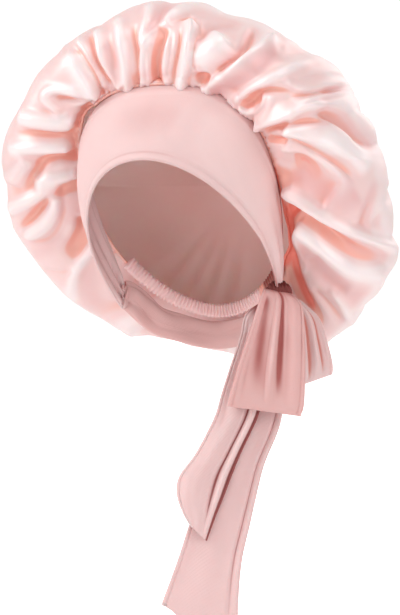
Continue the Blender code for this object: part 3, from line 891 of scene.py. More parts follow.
        (-4.0, 4, 4, R, 0.3, 0.05, 0.2, 99, 98, 82, 98, 66, 97, 54, 95),
        (5.0, 7, 8, R, -0.4, 0.1, 0.2, 84, 92, 64, 90, 50, 92, 47, 99, 56, 108, 66, 118),
        (-4.5, 9, 8, R, 1.2, 0.1, 0.2, 93, 102, 83, 115, 76, 130, 73, 148, 78, 166),
        (8.0, 16, 9, R, -0.4, 0.2, 0.2, 78, 118, 60, 121, 40, 119, 18, 115),
        (-3.5, 5, 2.5, C, 0.25, 0.1, 0.2, 76, 127, 62, 132, 44, 131, 18, 125),
        (-2.5, 5, 5, R, 0.25, 0.1, 0.2, 76, 136, 56, 136, 36, 134, 12, 131),
        (8.0, 12, 9, R, -0.4, 0.2, 0.2, 76, 148, 56, 147, 36, 146, 6, 149),
        (-7.5, 9, 8, R, 0.4, 0.1, 0.3, 82, 156, 62, 156, 47, 160, 37, 169, 31, 180, 24, 192),
        (6.5, 11, 7, R, -0.3, 0.1, 0.2, 78, 171, 62, 177, 46, 180, 32, 186),
        (7.0, 16, 14, R, 0.0, 0.2, 0.2, 30, 158, 20, 170, 12, 184),
        (-2.5, 3, 3, C, 0.2, 0.1, 0.2, 76, 176, 62, 184, 48, 188, 26, 191),
        (-5.5, 7, 7, R, 1.2, 0.0, 0.3, 86, 180, 74, 185, 62, 190, 54, 194),
        (7.0, 10, 11, R, -0.1, 0.1, 0.2, 62, 191, 44, 195, 26, 202, 6, 212),
        (-6.5, 6, 7, R, 0.5, 0.1, 0.2, 62, 193, 49, 197, 40, 208, 30, 220, 16, 232),
        (6.0, 7, 14, R, -0.1, 0.1, 0.2, 59, 194, 57, 208, 50, 222, 38, 232, 22, 236),
        (-3.5, 4, 4, C, 0.1, 0.1, 0.2, 61, 194, 63, 212, 59, 228, 50, 239, 38, 242, 24, 243),
        (-7.0, 13, 13, R, 1.3, 0.1, 0.3, 86, 216, 83, 232, 76, 246, 66, 260),
        (6.0, 6, 7, C, -0.4, 0.1, 0.1, 98, 246, 86, 256, 78, 267, 74, 280, 71, 302),
        (-2.5, 3, 3, C, 0.1, 0.1, 0.1, 76, 270, 60, 273, 44, 271),
        (2.5, 4, 4, C, 0.0, 0.1, 0.1, 99, 258, 104, 278, 113, 300),
    )
    PAINTED_HIGHLIGHTS_AND_SHADE: Rows = (
        # tone, left, right, then across and down of each point: a painted highlight where the tone is above 0 and
        # painted shade where it is below
        (-1.0, 10, 9, 148, 36, 158, 21, 174, 8),
        (-0.7, 6, 8, 198, 52, 202, 36, 213, 27, 240, 24),
        (-0.8, 8, 7, 222, 72, 236, 58, 246, 44, 253, 28),
        (-1.0, 17, 12, 212, 95, 235, 81, 256, 68, 276, 52),
        (-0.6, 7, 9, 116, 80, 110, 62, 106, 42),
        (-0.5, 4, 4, 104, 72, 95, 56, 91, 38),
        (-0.7, 8, 11, 322, 114, 345, 122, 362, 134, 378, 146),
        (-0.5, 6, 7, 322, 92, 350, 87),
        (-1.0, 22, 17, 288, 172, 314, 190, 340, 201, 360, 194),
        (-0.6, 9, 6, 363, 230, 368, 208, 378, 178),
        (-0.8, 18, 20, 306, 240, 322, 262, 345, 285, 362, 298),
        (-0.6, 6, 7, 345, 246, 368, 253, 392, 256),
        (-0.4, 13, 13, 30, 160, 18, 170, 10, 184),
        (-0.5, 9, 11, 64, 196, 74, 210, 70, 226),
        (-0.5, 11, 13, 66, 236, 46, 248, 32, 254),
        (-0.6, 12, 15, 80, 268, 90, 290, 100, 312),
        (0.9, 14, 14, 200, 62, 212, 50, 226, 34),
        (1.0, 10, 8, 180, 86, 186, 66, 190, 50),
        (0.9, 4, 3, 189, 66, 192, 44, 193, 22),
        (1.0, 3.5, 3, 202, 91, 228, 71, 252, 54, 264, 42, 270, 32),
        (0.8, 8, 5, 256, 52, 268, 36),
        (0.8, 7, 5, 127, 86, 125, 60, 121, 34, 117, 18),
        (0.8, 4, 5, 112, 80, 102, 62, 98, 46, 97, 30),
        (1.5, 16, 6, 98, 95, 87, 74, 76, 54),
        (0.7, 6, 7, 90, 90, 66, 88, 50, 92),
        (0.9, 10, 9, 70, 116, 48, 120, 20, 115),
        (0.9, 8, 8, 72, 144, 40, 147, 8, 151),
        (0.8, 8, 7, 68, 173, 48, 178, 32, 183),
        (0.6, 11, 5, 260, 86, 284, 72, 312, 58),
        (0.9, 14, 14, 318, 136, 345, 150, 372, 166),
        (0.7, 7, 5, 290, 134, 312, 142, 334, 152),
        (0.5, 6, 6, 328, 103, 360, 106),
        (1.0, 6, 7, 302, 228, 322, 242, 338, 256, 352, 265, 380, 270),
        (0.7, 7, 7, 370, 232, 392, 238),
        (0.6, 2.5, 2.5, 326, 220, 355, 235, 378, 244, 398, 250),
        (0.7, 7, 5, 172, 15, 196, 7, 228, 11),
        (0.6, 4, 4, 141, 42, 146, 20, 150, 4),
        (0.8, 3, 3, 142, 74, 143, 54, 150, 38, 162, 24, 178, 14),
        (0.6, 9, 7, 338, 294, 352, 314),
        (0.8, 5, 5, 92, 254, 78, 268, 73, 300),
    )
    SEAM_PAINTED_GLOW: Rows = (
        # at_deg, spread_deg, reach_share, warmth: painted warm glow and shade along the seam
        (112, 40, 0.120, 4.4),
        (72, 20, 0.035, 1.0),
        (90, 15, 0.030, 3.2),
        (-72, 34, 0.060, 0.9),
    )
    GATHERS: Rows = (
        # count, reach_share, depth_mm, seed
        (118, 0.045, 2.0, 5),
        (67, 0.080, 1.6, 11),
        (37, 0.160, 1.2, 23),
    )
    OVERHANG: Rows = (
        # at_deg, spread_deg, start, end, inwards_mm, forwards_mm
        (47, 24, 0.000, 0.090, 7.5, 6.0),
        (88, 34, 0.000, 0.100, 0.5, 4.0),
        (4, 30, 0.000, 0.060, 4.5, 2.0),
        (-76, 34, 0.000, 0.070, 3.5, 2.5),
    )

    def columns(self) -> np.ndarray:
        """The angle of each column, closer together where the folds are fine.

        Returns:
            Angles in radians.
        """
        even = np.linspace(-180, 180, 3601)
        fine = ease((even - self.fine_from_deg) / self.fine_fade_deg)
        fine = fine * ease((self.fine_to_deg - even) / self.fine_fade_deg)
        return np.radians(spaced(1 + self.fine_density * fine, even, self.around))

    def base(self, share: np.ndarray, angle: np.ndarray) -> np.ndarray:
        """The puffed form without folds.

        Args:
            share: How far out from the seam to the middle of the back each row lies.
            angle: The angle of each column.

        Returns:
            A grid of points.
        """
        loops = [SEAM.points(angle)]
        for across, top, bottom, back_top, back_side, back_bottom, squareness in self.RINGS:
            backs = [self.front + back * self.depth for back in (back_top, back_side, back_bottom)]
            reach = across * self.half_width, top * self.top, bottom * self.drop
            loops.append(Loop(*reach, *backs, squareness, squareness).points(angle))
        pole = (0, self.front + self.pole_back * self.depth, MID_HEIGHT)
        loops.append(np.broadcast_to(pole, loops[0].shape))
        points = smooth_rows(np.stack(loops), share)
        degrees = np.degrees(angle)
        lobes = sum(size * window(turn_between(degrees, at), spread) for at, spread, size in self.LOBES)
        lobes = lobes + np.interp(degrees, self.RIM_DEG, self.RIM)
        widen = 1 + lobes[None, :] * (np.sin(math.pi * np.clip(share / 0.95, 0, 1)) ** 1.5)[:, None]
        points[..., 0] *= widen
        points[..., 2] = MID_HEIGHT + (points[..., 2] - MID_HEIGHT) * widen
        return points

    def folds(self, share: np.ndarray, degrees: np.ndarray) -> np.ndarray:
        """How far the folds of the back push the cloth out.

        Args:
            share: How far out from the seam each point lies.
            degrees: The angle of each point.

        Returns:
            A distance for each point, in metres.
        """
        push = np.zeros(np.broadcast(share, degrees).shape)
        for near, middle, far, start, end, half_width, lean, height, kind in self.FOLDS:
            t = np.clip((share - start) / (end - start), 0, 1)
            centre = near + t * (4 * middle - 3 * near - far) + t * t * (2 * near + 2 * far - 4 * middle)
            along = ease(t / 0.16) * ease((1 - t) / 0.6)
            off = turn_between(degrees, centre)
            width = half_width * (1 + lean * np.sign(off)) * (0.75 + 0.5 * t)
            push += height * MM * along * fold_profile(kind, off / width)
        return push

    def creases(self, points: np.ndarray, normals: np.ndarray) -> np.ndarray:
        """The creases of the front view, laid on the cloth that faces it.

        Args:
            points: The crown's surface.
            normals: Its outward directions.

        Returns:
            For each point, how far it is pushed out in metres, its painted warm glow and shade, and its painted
            highlight and shade from the tones.
        """
        places = FRONT_VIEW.places(points)
        facing = FRONT_VIEW.facing(points, normals)
        seen = self.rim_share * ease((facing + 0.3) / 0.3) + (1 - self.rim_share) * ease(facing / 0.4)
        laid = np.zeros((*facing.shape, 3))
        rows = [(0.0, *row) for row in self.CREASES]
        # the painted highlights and painted shade go in as creases without height
        rows += [(tone, 0, left, right, R, 0, 0.1, 0.1, *path) for tone, left, right, *path in self.PAINTED_HIGHLIGHTS_AND_SHADE]
        for tone, height, left, right, kind, painted_glow_amount, first, last, *path in rows:
            line = smooth_rows(np.reshape(path, (-1, 2)), np.linspace(0, 1, 25))
            reach = max(left, right)
            near = ((places > line.min(0) - reach) & (places < line.max(0) + reach)).all(-1) & (seen > 0)
            if near.any():
                off, t = beside(line, places[near])
                off = np.where(off > 0, off / right, -off / left)
                along = seen[near] * (ease(t / first) if first else 1) * (ease((1 - t) / last) if last else 1)
                soft = fold_profile(FoldKind.ROUND, 0.85 * off)
                push = height * MM * fold_profile(kind, off)
                laid[near] += along[:, None] * np.stack([push, painted_glow_amount * soft, tone * soft], -1)
        return laid

    def gathers(self, share: np.ndarray, angle: np.ndarray) -> np.ndarray:
        """The small puckers along the seam, nearly none beside the knot.

        Args:
            share: How far out from the seam each point lies.
            angle: The angle of each point, in radians.

        Returns:
            How far they push each point out, in metres.
        """
        push = np.zeros(np.broadcast(share, angle).shape)
        for count, reach, depth, seed in self.GATHERS:
            drift = wobble(angle, int(seed)) * (1.6 + 8 * share) / count
            strength = 0.65 + 0.5 * wobble(angle, int(seed) + 1, 23)
            wave = np.abs(np.sin(count * (angle + drift) / 2)) - 0.62
            fade = ease((share + 0.004) / 0.012) * np.clip(1 - share / (reach * (1 + 0.4 * strength)), 0, 1) ** 1.5
            push += depth * MM * strength * wave * fade
        return push * (1 - 0.85 * window(turn_between(np.degrees(angle), self.plain_at_deg), self.plain_spread_deg))

    def drape(self, share: np.ndarray, angle: np.ndarray) -> np.ndarray:
        """Slow swells over the rim and long soft folds over the back.

        Args:
            share: How far out from the seam each point lies.
            angle: The angle of each point, in radians.

        Returns:
            How far they push each point out, in metres.
        """
        slow = wobble(angle + 2.2 * share, 41, 9) + 0.7 * wobble(angle - 3.0 * share, 43, 13)
        ripple = np.abs(np.sin(self.back_ripples * (angle + 0.35 * wobble(angle, 47, 5) + 0.5 * share))) - 0.6
        rim = ease(share / 0.25) * ease((1 - share) / 0.3)
        back = ease((share - 0.42) / 0.2) * ease((0.9 - share) / 0.36)
        return self.swell * slow * rim + self.back_ripple * ripple * back

    def seam_edge(self, points: np.ndarray, share: np.ndarray, degrees: np.ndarray) -> np.ndarray:
        """Lets the gathered edge hang over the band where the crown is fullest.

        Args:
            points: The crown's form.
            share: How far out from the seam each point lies.
            degrees: The angle of each point.

        Returns:
            The form with its edge hung over.
        """
        inwards = -unit(points * (1, 0, 1) - (0, 0, MID_HEIGHT))
        ragged = 0.75 + 0.5 * wobble(np.radians(degrees), 61, 31)
        for at, spread, start, end, inwards_mm, forwards_mm in self.OVERHANG:
            t = np.clip((share - start) / (end - start), 0, 1)
            amount = (np.sin(math.pi * t**0.6) ** 1.2 * window(turn_between(degrees, at), spread) * ragged)[..., None]
            points = points + amount * MM * (inwards * inwards_mm - (0, forwards_mm, 0))
        return points

    def seam_lip(self, edge: np.ndarray, angle: np.ndarray) -> np.ndarray:
        """Rows that roll the gathered edge over the top of the band.

        Args:
            edge: The crown's first row.
            angle: The angle of each of its points, in radians.

        Returns:
            The rows, outermost first.
        """
        radial = unit(SEAM.points(angle) * (1, 0, 1) - (0, 0, MID_HEIGHT))
        more, less = self.lip_tilt
        down = unit(-more * radial + (0, -less, 0))
        out = unit(less * radial + (0, -more, 0))
        pucker = 1 + 0.35 * np.abs(np.sin(52 * angle + 2 * wobble(angle, 71)))[:, None]
        roll = [(1.0, -0.2), (1.0, 0.5), (0.7, 0.95), (0.3, 0.9)]
        return np.stack([edge + self.lip_width * a * down + self.lip_roll * b * pucker * out for a, b in roll])

    def rows(self) -> np.ndarray:
        """How far out each row lies, closer together where the crown faces the front and along its seam.

        Returns:
            Shares of the way from the seam to the middle of the back.
        """
        even = np.linspace(0, 1, 2001)
        front = self.front_density * ease((0.52 - even) / 0.16)
        seam = self.seam_density * ease((0.06 - even) / 0.04)
        return spaced(1 + front + seam, even, self.out)

    def surface(self) -> tuple[ClothGrid, np.ndarray, np.ndarray]:
        """The crown's surface with its folds.

        Returns:
            The surface, how proud each of its points stands less its painted glow, which sets its painted shade and
            highlight, and its tone of painted highlight and shade.
        """
        rows = self.rows()
        angle = self.columns()
        share, turn = np.meshgrid(rows, angle, indexing="ij")
        degrees = np.degrees(turn)
        grid = ClothGrid(self.seam_edge(self.base(rows, angle), share, degrees), around=True)
        normal = grid.normals(grid.points)
        middle = self.out // 2
        if (normal[middle] * (grid.points[middle] - grid.points[middle].mean(0))).sum() < 0:
            normal = -normal
        push, painted_glow, tone = (soften(soften(field)) for field in np.moveaxis(self.creases(grid.points, normal), -1, 0))
        puckers = self.gathers(share, turn)
        # painted shade in the puckers' hollows and a painted highlight on their tops
        painted_glow = painted_glow - puckers / self.pucker_reach
        # painted warm glow and shade along parts of the seam
        for at, spread, reach, painted_glow_amount in self.SEAM_PAINTED_GLOW:
            painted_glow = np.maximum(painted_glow, painted_glow_amount * window(share, reach) * window(turn_between(degrees, at), spread))
        push = push + self.folds(share, degrees) + puckers + self.drape(share, turn)
        points = grid.points + normal * push[..., None]
        lip = self.seam_lip(points[0], angle)
        grid.points = np.concatenate([lip, points])
        grid.tip = grid.points[-1].mean(0)
        painted_glow, tone = (np.concatenate([np.repeat(field[:1], len(lip), 0), field]) for field in (painted_glow, tone))
        # the rolled lip gets painted warm shade
        painted_glow[: len(lip)] += self.lip_painted_glow
        # how proud the cloth stands sets its painted shade in the valleys and painted highlight on the ridges, less
        # towards the back
        proud = grid.depths(self.fold_reach, self.fold_rounds)
        proud[len(lip) :] *= ease((1 - share) / self.pole_fade)
        return grid, proud - painted_glow, np.clip(tone, -1, 1)

    def build(self, groups: ShaderGroups) -> bpy.types.Object:
        """Args:
            groups: The shader groups.

        Returns:
            The crown.
        """
        grid, proud, tone = self.surface()
        piece = grid.build("satin_crown", self.wall, proud, tone)
        piece.data.materials.append(crown_satin("pale_satin").material(groups))
        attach(piece, "root")
        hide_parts("crown")
        return piece


@dataclass
class Headband:
    """The stretch band from the gather behind the right ear, over the forehead, to the knot."""

    head_half_width: float = 80 * MM
    head_half_length: float = 97 * MM
    edge_peak: float = 22 * MM
    edge_fall: float = 92 * MM
    edge_turn_deg: float = 4
    edge_end_deg: float = 104
    belly: float = 6 * MM
    pleat_depth: float = 3.5 * MM
    pleats: int = 3
    tuck: float = 1.9 * MM
    wall: float = 1.8 * MM
    gathered_from: float = 0.72
    closing_from: float = 0.66
    hem_roll: float = 0.9 * MM
    ridge_roll: float = 0.8 * MM
    fold_reach: float = 2.5 * MM
    fold_rounds: int = 30
    along: int = 260
    up: int = 44

    def lower_edge(self, angle: np.ndarray) -> np.ndarray:
        """The band's lower edge, round the face.

        Args:
            angle: Angles in radians, 0 at the forehead.

        Returns:
            A point for each angle.
        """
        slant = self.edge_fall * (1 - np.cos(angle - math.radians(self.edge_turn_deg)))
        x = self.head_half_width * np.sin(angle)
        return np.stack([x, -self.head_half_length * np.cos(angle), self.edge_peak - slant], -1)

    def points(self) -> tuple[np.ndarray, np.ndarray, np.ndarray]:
        """The band's surface, as a grid with a row for each place along it.

        Returns:
            The points, how far along each row is from -1 to 1, and how far up each column is from 0 to 1.
        """
        along = np.linspace(-1, 1, self.along + 1)
        up = np.linspace(0, 1, self.up + 1)
        low = self.lower_edge(math.radians(self.edge_end_deg) * along)
        high = SEAM.points(math.radians(SEWN_END_DEG) * along)
        gathered = np.clip((np.abs(along) - self.gathered_from) / (1 - self.gathered_from), 0, None)[:, None] ** 1.6
        ends = np.stack([knot_centre(1 if a > 0 else -1) for a in along])
        low = low + (ends - (0, 0, TIE_HEIGHT / 2) - low) * gathered
        high = high + (ends + (0, 0, TIE_HEIGHT / 2) - high) * gathered
        inwards = unit(np.stack([-high[:, 0], -high[:, 1], np.zeros(len(high))], -1))
        high = high + (unit(low - high) + inwards) * self.tuck
        grid = low[:, None] + (high - low)[:, None] * up[None, :, None]
        outwards = unit(np.cross(np.gradient(grid[:, self.up // 2], axis=0), high - low))[:, None]
        closing = np.clip((np.abs(along) - self.closing_from) / (1 - self.closing_from), 0, None)[:, None]
        bell = self.belly * 4 * up * (1 - up) * (1 - closing)
        pleat = self.pleat_depth * closing * (np.cos(self.pleats * 2 * math.pi * up) - 1) * 0.5
        pleat = pleat + self.pleat_depth * closing * 0.5 * np.sin(math.pi * up)
        hem = self.hem_roll * (window(up - 0.03, 0.035) - 0.9 * window(up - 0.085, 0.03)) * (1 - closing)
        ridge = self.ridge_roll * window(up - 0.87, 0.05) * (1 - closing)
        shape = bell + pleat + hem + ridge
        return grid + outwards * shape[..., None], along, up

    def build(self, groups: ShaderGroups) -> bpy.types.Object:
        """Args:
            groups: The shader groups.

        Returns:
            The band.
        """
        points, along, up = self.points()
        grid = ClothGrid(points, outer_side=-1)
        along, up = along[:, None], up[None, :]
        # painted light and shade: the wearer's left side is paler across the middle of the band and darker along the
        # seam, where the crown's shadow falls, the front is a little darker, and towards the knot the creases and the
        # lower edge get painted shade
        to_left = ease((along - 0.1) / 0.35)
        shade = to_left * (0.5 * ease((up - 0.88) / 0.1) - 1.5 * window(up - 0.5, 0.55))
        shade = shade + 0.4 * window(along - 0.02, 0.4) * window(up - 0.5, 0.6)
        to_tip = ease((along - 0.62) / 0.3)
        painted_crease_shade = to_tip * (1.3 * window(up - 0.70, 0.10) + 2.2 * ease((up - 0.88) / 0.08))
        under = 0.7 * to_tip * ease((0.10 - up) / 0.08)
        proud = grid.depths(self.fold_reach, self.fold_rounds) - shade - painted_crease_shade - under
        piece = grid.build("jersey_headband", self.wall, proud)
        piece.data.materials.append(band_finish().material(groups))
        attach(piece, "root")
        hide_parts("headband")
        return piece


def crown_satin(name: str, **other: object) -> SatinFinish:
    """The crown's satin.

    Args:
        name: The material's name.
        **other: What differs from the crown's own finish.

    Returns:
        The finish.
    """
    return SatinFinish(
        name,
        cloth=(0.93, 0.64, 0.625),
        # painted warm shade and glow in the valleys and a painted highlight on the ridges
        valley=(0.97, 0.41, 0.31),
        ridge=(1.0, 0.87, 0.86),
        valley_amount=0.7,
        ridge_amount=0.6,
        **other,
    )


def bow_finish(name: str = "rose_jersey_bow", valley: Colour = (0.40, 0.10, 0.09)) -> JerseyFinish:
    """The bow's jersey: a darker copy of the band's, as painted shade for its many folds.

    Args:
        name: The material's name.
        valley: The painted shade at the bottom of a fold.

    Returns:
        The finish.
    """
    return JerseyFinish(
        name,
        cloth=(0.75, 0.475, 0.455),
        valley=valley,
        ridge=(0.92, 0.70, 0.68),
        valley_amount=0.9,
        ridge_amount=0.7,
    )


def band_finish(name: str = "rose_jersey", valley: Colour = (0.42, 0.09, 0.08)) -> JerseyFinish:
    """The band's jersey.

    Args:
        name: The material's name.
        valley: The painted shade at the bottom of a fold.

    Returns:
        The finish.
    """
    return JerseyFinish(
        name,
        cloth=(0.79, 0.59, 0.58),
        valley=valley,
        ridge=(0.92, 0.73, 0.715),
        valley_amount=0.8,
        ridge_amount=0.4,
    )


@dataclass(frozen=True)
class Strip:
    """A flattened tube of cloth along a path, closed at both ends."""

    height: float
    thickness: float
    squareness: float = 2.6
    closed_over: float = 0.006

    def grid(self, path: np.ndarray, around: int, ripple: np.ndarray) -> ClothGrid:
        """The strip's surface.

        Args:
            path: Its middle line.
            around: How many points go round its section.
            ripple: How far each point stands proud of the plain section, in metres.

        Returns:
            A grid with a row for each point of the path and a closed loop of columns.
        """
        ahead = unit(np.gradient(path, axis=0))
        side = unit(np.cross(ahead, (0, 0, 1.0)))
        up = np.cross(side, ahead)
        turn = np.linspace(0, 2 * math.pi, around, endpoint=False)
        x = power_wave(np.cos(turn), np.array(self.squareness)) * self.thickness / 2
        z = power_wave(np.sin(turn), np.array(self.squareness)) * self.height / 2
        nx, nz = np.cos(turn), np.sin(turn)
        share = np.linspace(0, 1, len(path))[:, None]
        close = np.clip(np.minimum(share, 1 - share) / self.closed_over, 0.02, 1) ** 0.5
        across = (x + nx * ripple) * close
        upwards = (z + nz * ripple) * close
        points = path[:, None] + side[:, None] * across[..., None] + up[:, None] * upwards[..., None]
        return ClothGrid(points, around=True, outer_side=-1)


@dataclass
class NapeTrim:
    """The elastic casing round the nape, and the band's other end, which runs below it to the knot."""

    casing_thickness: float = 4.5 * MM
    tie_thickness: float = 6.5 * MM
    below_casing: float = 3 * MM
    seam_gap: float = 0.5 * MM
    satin_wall: float = 1.6 * MM
    past_band_deg: float = 3
    tie_from_seam: float = 3 * MM
    tie_bend: float = 18 * MM
    tie_rise: float = 11 * MM
    tie_behind_knot: float = 9 * MM
    tie_under_knot: float = 3 * MM
    casing_gathers: int = 54
    casing_along: int = 420
    casing_around: int = 28
    tie_folds: int = 5
    tie_along: int = 220
    tie_around: int = 72

    def casing(self, groups: ShaderGroups) -> bpy.types.Object:
        """Makes the casing, scrunched along its elastic.

        Args:
            groups: The shader groups.

        Returns:
            The casing.
        """
        start = math.radians(SEWN_END_DEG + self.past_band_deg)
        share = np.linspace(0, 1, self.casing_along)
        edge = SEAM.points(start + (2 * math.pi - 2 * start) * share)
        inwards = unit(edge * (-1, -1, 0))
        path = edge + inwards * (self.casing_thickness / 2 + self.satin_wall / 2 + self.seam_gap)
        turn = np.linspace(0, 2 * math.pi, self.casing_around, endpoint=False)[None, :]
        along = share[:, None]
        drift = 0.5 * wobble(2 * math.pi * share, 83, 9)[:, None] + 0.5 * np.sin(turn + 9 * along)
        gather = np.abs(np.sin(self.casing_gathers * math.pi * along + drift)) - 0.6
        ripple = MM * gather + 0.35 * MM * np.sin(2 * self.casing_gathers * math.pi * along + 2 * turn)
        grid = Strip(CASING_HEIGHT, self.casing_thickness).grid(path, self.casing_around, ripple)
        # painted shadow on the casing's end beside the knot
        painted_recess_shade = 4.0 * ease((0.23 - along) / 0.1)
        piece = grid.build("satin_nape_casing", 0, 0.5 * grid.depths(1.6 * MM, 16) - painted_recess_shade)
        # the deepest colour darker, as painted shadow
        satin = crown_satin("casing_satin", roughness=0.34, deep=(0.22, 0.03, 0.025))
        piece.data.materials.append(satin.material(groups))
        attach(piece, "root")
        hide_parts("nape_casing")
        return piece

    def tie(self, groups: ShaderGroups) -> bpy.types.Object:
        """Makes the gathered tie, with its folds along its length.

        Args:
            groups: The shader groups.

        Returns:
            The tie.
        """
        low = -SEAM.drop - CASING_HEIGHT / 2 - self.below_casing - TIE_HEIGHT / 2
        back = SEAM.back - self.tie_from_seam
        behind, under = KNOT_BACK + self.tie_behind_knot, -KNOT_DROP - self.tie_under_knot
        rows = (
            knot_centre(-1) + (0.6 * MM, 2.2 * MM, 0),
            (-0.93 * KNOT_SIDE, behind, under),
            (-0.64 * KNOT_SIDE, back - self.tie_bend, low + self.tie_rise),
            (0, back, low),
            (0.64 * KNOT_SIDE, back - self.tie_bend, low + self.tie_rise),
            (0.95 * KNOT_SIDE, behind, under),
            knot_centre(),
        )
        share = np.linspace(0, 1, self.tie_along)
        path = smooth_rows(np.array(rows), share)
        turn = np.linspace(0, 2 * math.pi, self.tie_around, endpoint=False)[None, :]
        along = share[:, None]
        twist = 0.8 * np.sin(2 * math.pi * along + 0.6) + 0.5 * wobble(2 * math.pi * share, 91, 5)[:, None]
        fold = np.abs(np.sin(self.tie_folds * turn / 2 + twist)) - 0.55
        ripple = 1.5 * MM * fold * (0.7 + 0.3 * np.sin(3 * math.pi * along)) + 0.4 * MM * np.sin(3 * turn + 40 * along)
        grid = Strip(TIE_HEIGHT, self.tie_thickness).grid(path, self.tie_around, ripple)
        # painted shadow on the tie's end behind the knot
        painted_recess_shade = 2.6 * ease((along - 0.86) / 0.1)
        piece = grid.build("jersey_nape_tie", 0, grid.depths(2 * MM, 24) - painted_recess_shade)
        piece.data.materials.append(bow_finish().material(groups))
        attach(piece, "root")
        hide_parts("nape_tie")
        return piece


@dataclass
class Knot:
    """The wrapped knot that the loops and tails come out of."""

    radii: tuple[float, float, float] = (12 * MM, 11 * MM, 15 * MM)
    forward: float = 4 * MM
    facing_deg: float = BOW_FACING_DEG
    wraps: int = 6
    wrap_depth: float = 1.1 * MM
    rings: int = 64
    around: int = 120

    def build(self, groups: ShaderGroups) -> bpy.types.Object:
        """Makes the knot.

        Args:
            groups: The shader groups.

        Returns:
            The knot.
        """
        across, out = facing_axes(self.facing_deg)
        rise = np.linspace(0.5 * math.pi, -0.5 * math.pi, self.rings)[:, None]
        turn = np.linspace(0, 2 * math.pi, self.around, endpoint=False)[None, :]
        x, y, z = np.cos(rise) * np.cos(turn), np.cos(rise) * np.sin(turn), np.sin(rise) + 0 * turn
        slant = 0.55 * z + 0.3 * np.sin(2.2 * x)
        wrap = np.abs(np.sin(self.wraps * math.pi / 2 * (x + slant) + 0.4)) - 0.55
        size = 1 + (self.wrap_depth / self.radii[1]) * wrap * np.cos(rise) ** 0.5
        local = np.stack([x * self.radii[0], y * self.radii[1], z * self.radii[2]], -1) * size[..., None]
        centre = knot_centre() + out * self.forward
        points = centre + local[..., :1] * across + local[..., 1:2] * out + local[..., 2:] * np.array((0, 0, 1.0))
        grid = ClothGrid(points[:, ::-1], around=True, outer_side=-1)
        # painted shade over the whole knot, darker towards its top
        painted_knot_shade = 1.2 + 2.6 * ease((z[:, ::-1] - 0.35) / 0.5)
        piece = grid.build("jersey_knot", 0, grid.depths(1.6 * MM, 14) - painted_knot_shade)
        # a near-black valley colour, as painted shade
        piece.data.materials.append(bow_finish("rose_jersey_knot", (0.17, 0.022, 0.018)).material(groups))
        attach(piece, "root")
        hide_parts("knot")
        return piece


@dataclass
class Ribbon:
    """A length of the bow's cloth between two long edges, with its folds."""

    name: str
    node: str
    edges: Rows
    size: tuple[float, float, float]
    folds: Rows
    flat: tuple[float, float]
    held: str
    facing_deg: float = BOW_FACING_DEG
    curl: tuple[float, float] = (0.0, 0.0)
    # painted shade: towards the knot, in deep hollows, over the whole ribbon, and a painted shadow along its right edge
    gather_shade: float = 1.2
    painted_edge_shadow: float = 0.0
    hollow_shade: float = 0.25
    shade: float = 0.0
    tightest: float = 0.9 * MM
    wall: float = 1.5 * MM
    along: int = 190
    across: int = 96
    edge_roll: float = 0.7 * MM

    def points(self) -> tuple[np.ndarray, np.ndarray]:
        """The ribbon's surface.

        Returns:
            The points, with a row for each place along it, and how much painted shade each of its hollows gets.
        """
        across, out = facing_axes(self.facing_deg)
        reach, length, standoff = self.size
        share = np.linspace(0, 1, self.along + 1)
        edges = smooth_rows(self.edges, share)
        v = np.linspace(0, 1, self.across + 1)[None, :]
        left, left_drop, right, right_drop, left_out, right_out = (edges[:, k : k + 1] for k in range(6))
        sideways = reach * (left + (right - left) * v)
        drop = length * (left_drop + (right_drop - left_drop) * v)
        outwards = standoff * (left_out + (right_out - left_out) * v)
        rows = share[:, None]
        hollow = np.zeros_like(outwards)
        for first, last, half_width, depth, start, end, right_lean in self.folds:
            t = np.clip((rows - start) / (end - start), 0, 1)
            off = (v - first - (last - first) * t) / half_width
            off = np.where(off > 0, off / right_lean, off)
            swell = fold_profile(FoldKind.ROUND, off) * ease(t / 0.2) * ease((1 - t) / 0.4)
            room = (half_width * reach * (right - left)) ** 2 / (4 * self.tightest)
            outwards = outwards + np.clip(depth * MM, -room, room) * swell
            hollow += max(0, -depth - 2) * self.hollow_shade * swell
        left_curl, right_curl = self.curl
        outwards = outwards - ease(rows / 0.15) * (left_curl * window(v, 0.16) + right_curl * window(1 - v, 0.16))
        edge = np.minimum(v, 1 - v)
        outwards = outwards + self.edge_roll * (window(edge - 0.02, 0.03) - 0.7 * window(edge - 0.06, 0.03))
        places = knot_centre() + across * sideways[..., None] + out * outwards[..., None]
        return places - np.array((0, 0, 1.0)) * drop[..., None], hollow

    def build(self, material: bpy.types.Material) -> bpy.types.Object:
        """Args:
            material: The bow's jersey.

        Returns:
            The ribbon.
        """
        points, hollow = self.points()
        grid = ClothGrid(points, outer_side=-1)
        # painted shade: darker where the ribbon goes into the knot, in its deep hollows, along a painted shadow at its
        # right edge, and over the whole ribbon by its shade setting
        knot_painted_shade = self.gather_shade * ease(1 - np.linspace(0, 1, self.along + 1) / 0.17)[:, None]
        proud = grid.depths(1.8 * MM, 60) - self.shade
        proud = 0.7 * proud - hollow - knot_painted_shade - self.painted_edge_shadow * window(1 - np.linspace(0, 1, self.across + 1), 0.12)
        piece = grid.build(self.name, self.wall, proud)
        piece.data.materials.append(material)
        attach(piece, "root")
        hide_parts(self.node)
        return piece


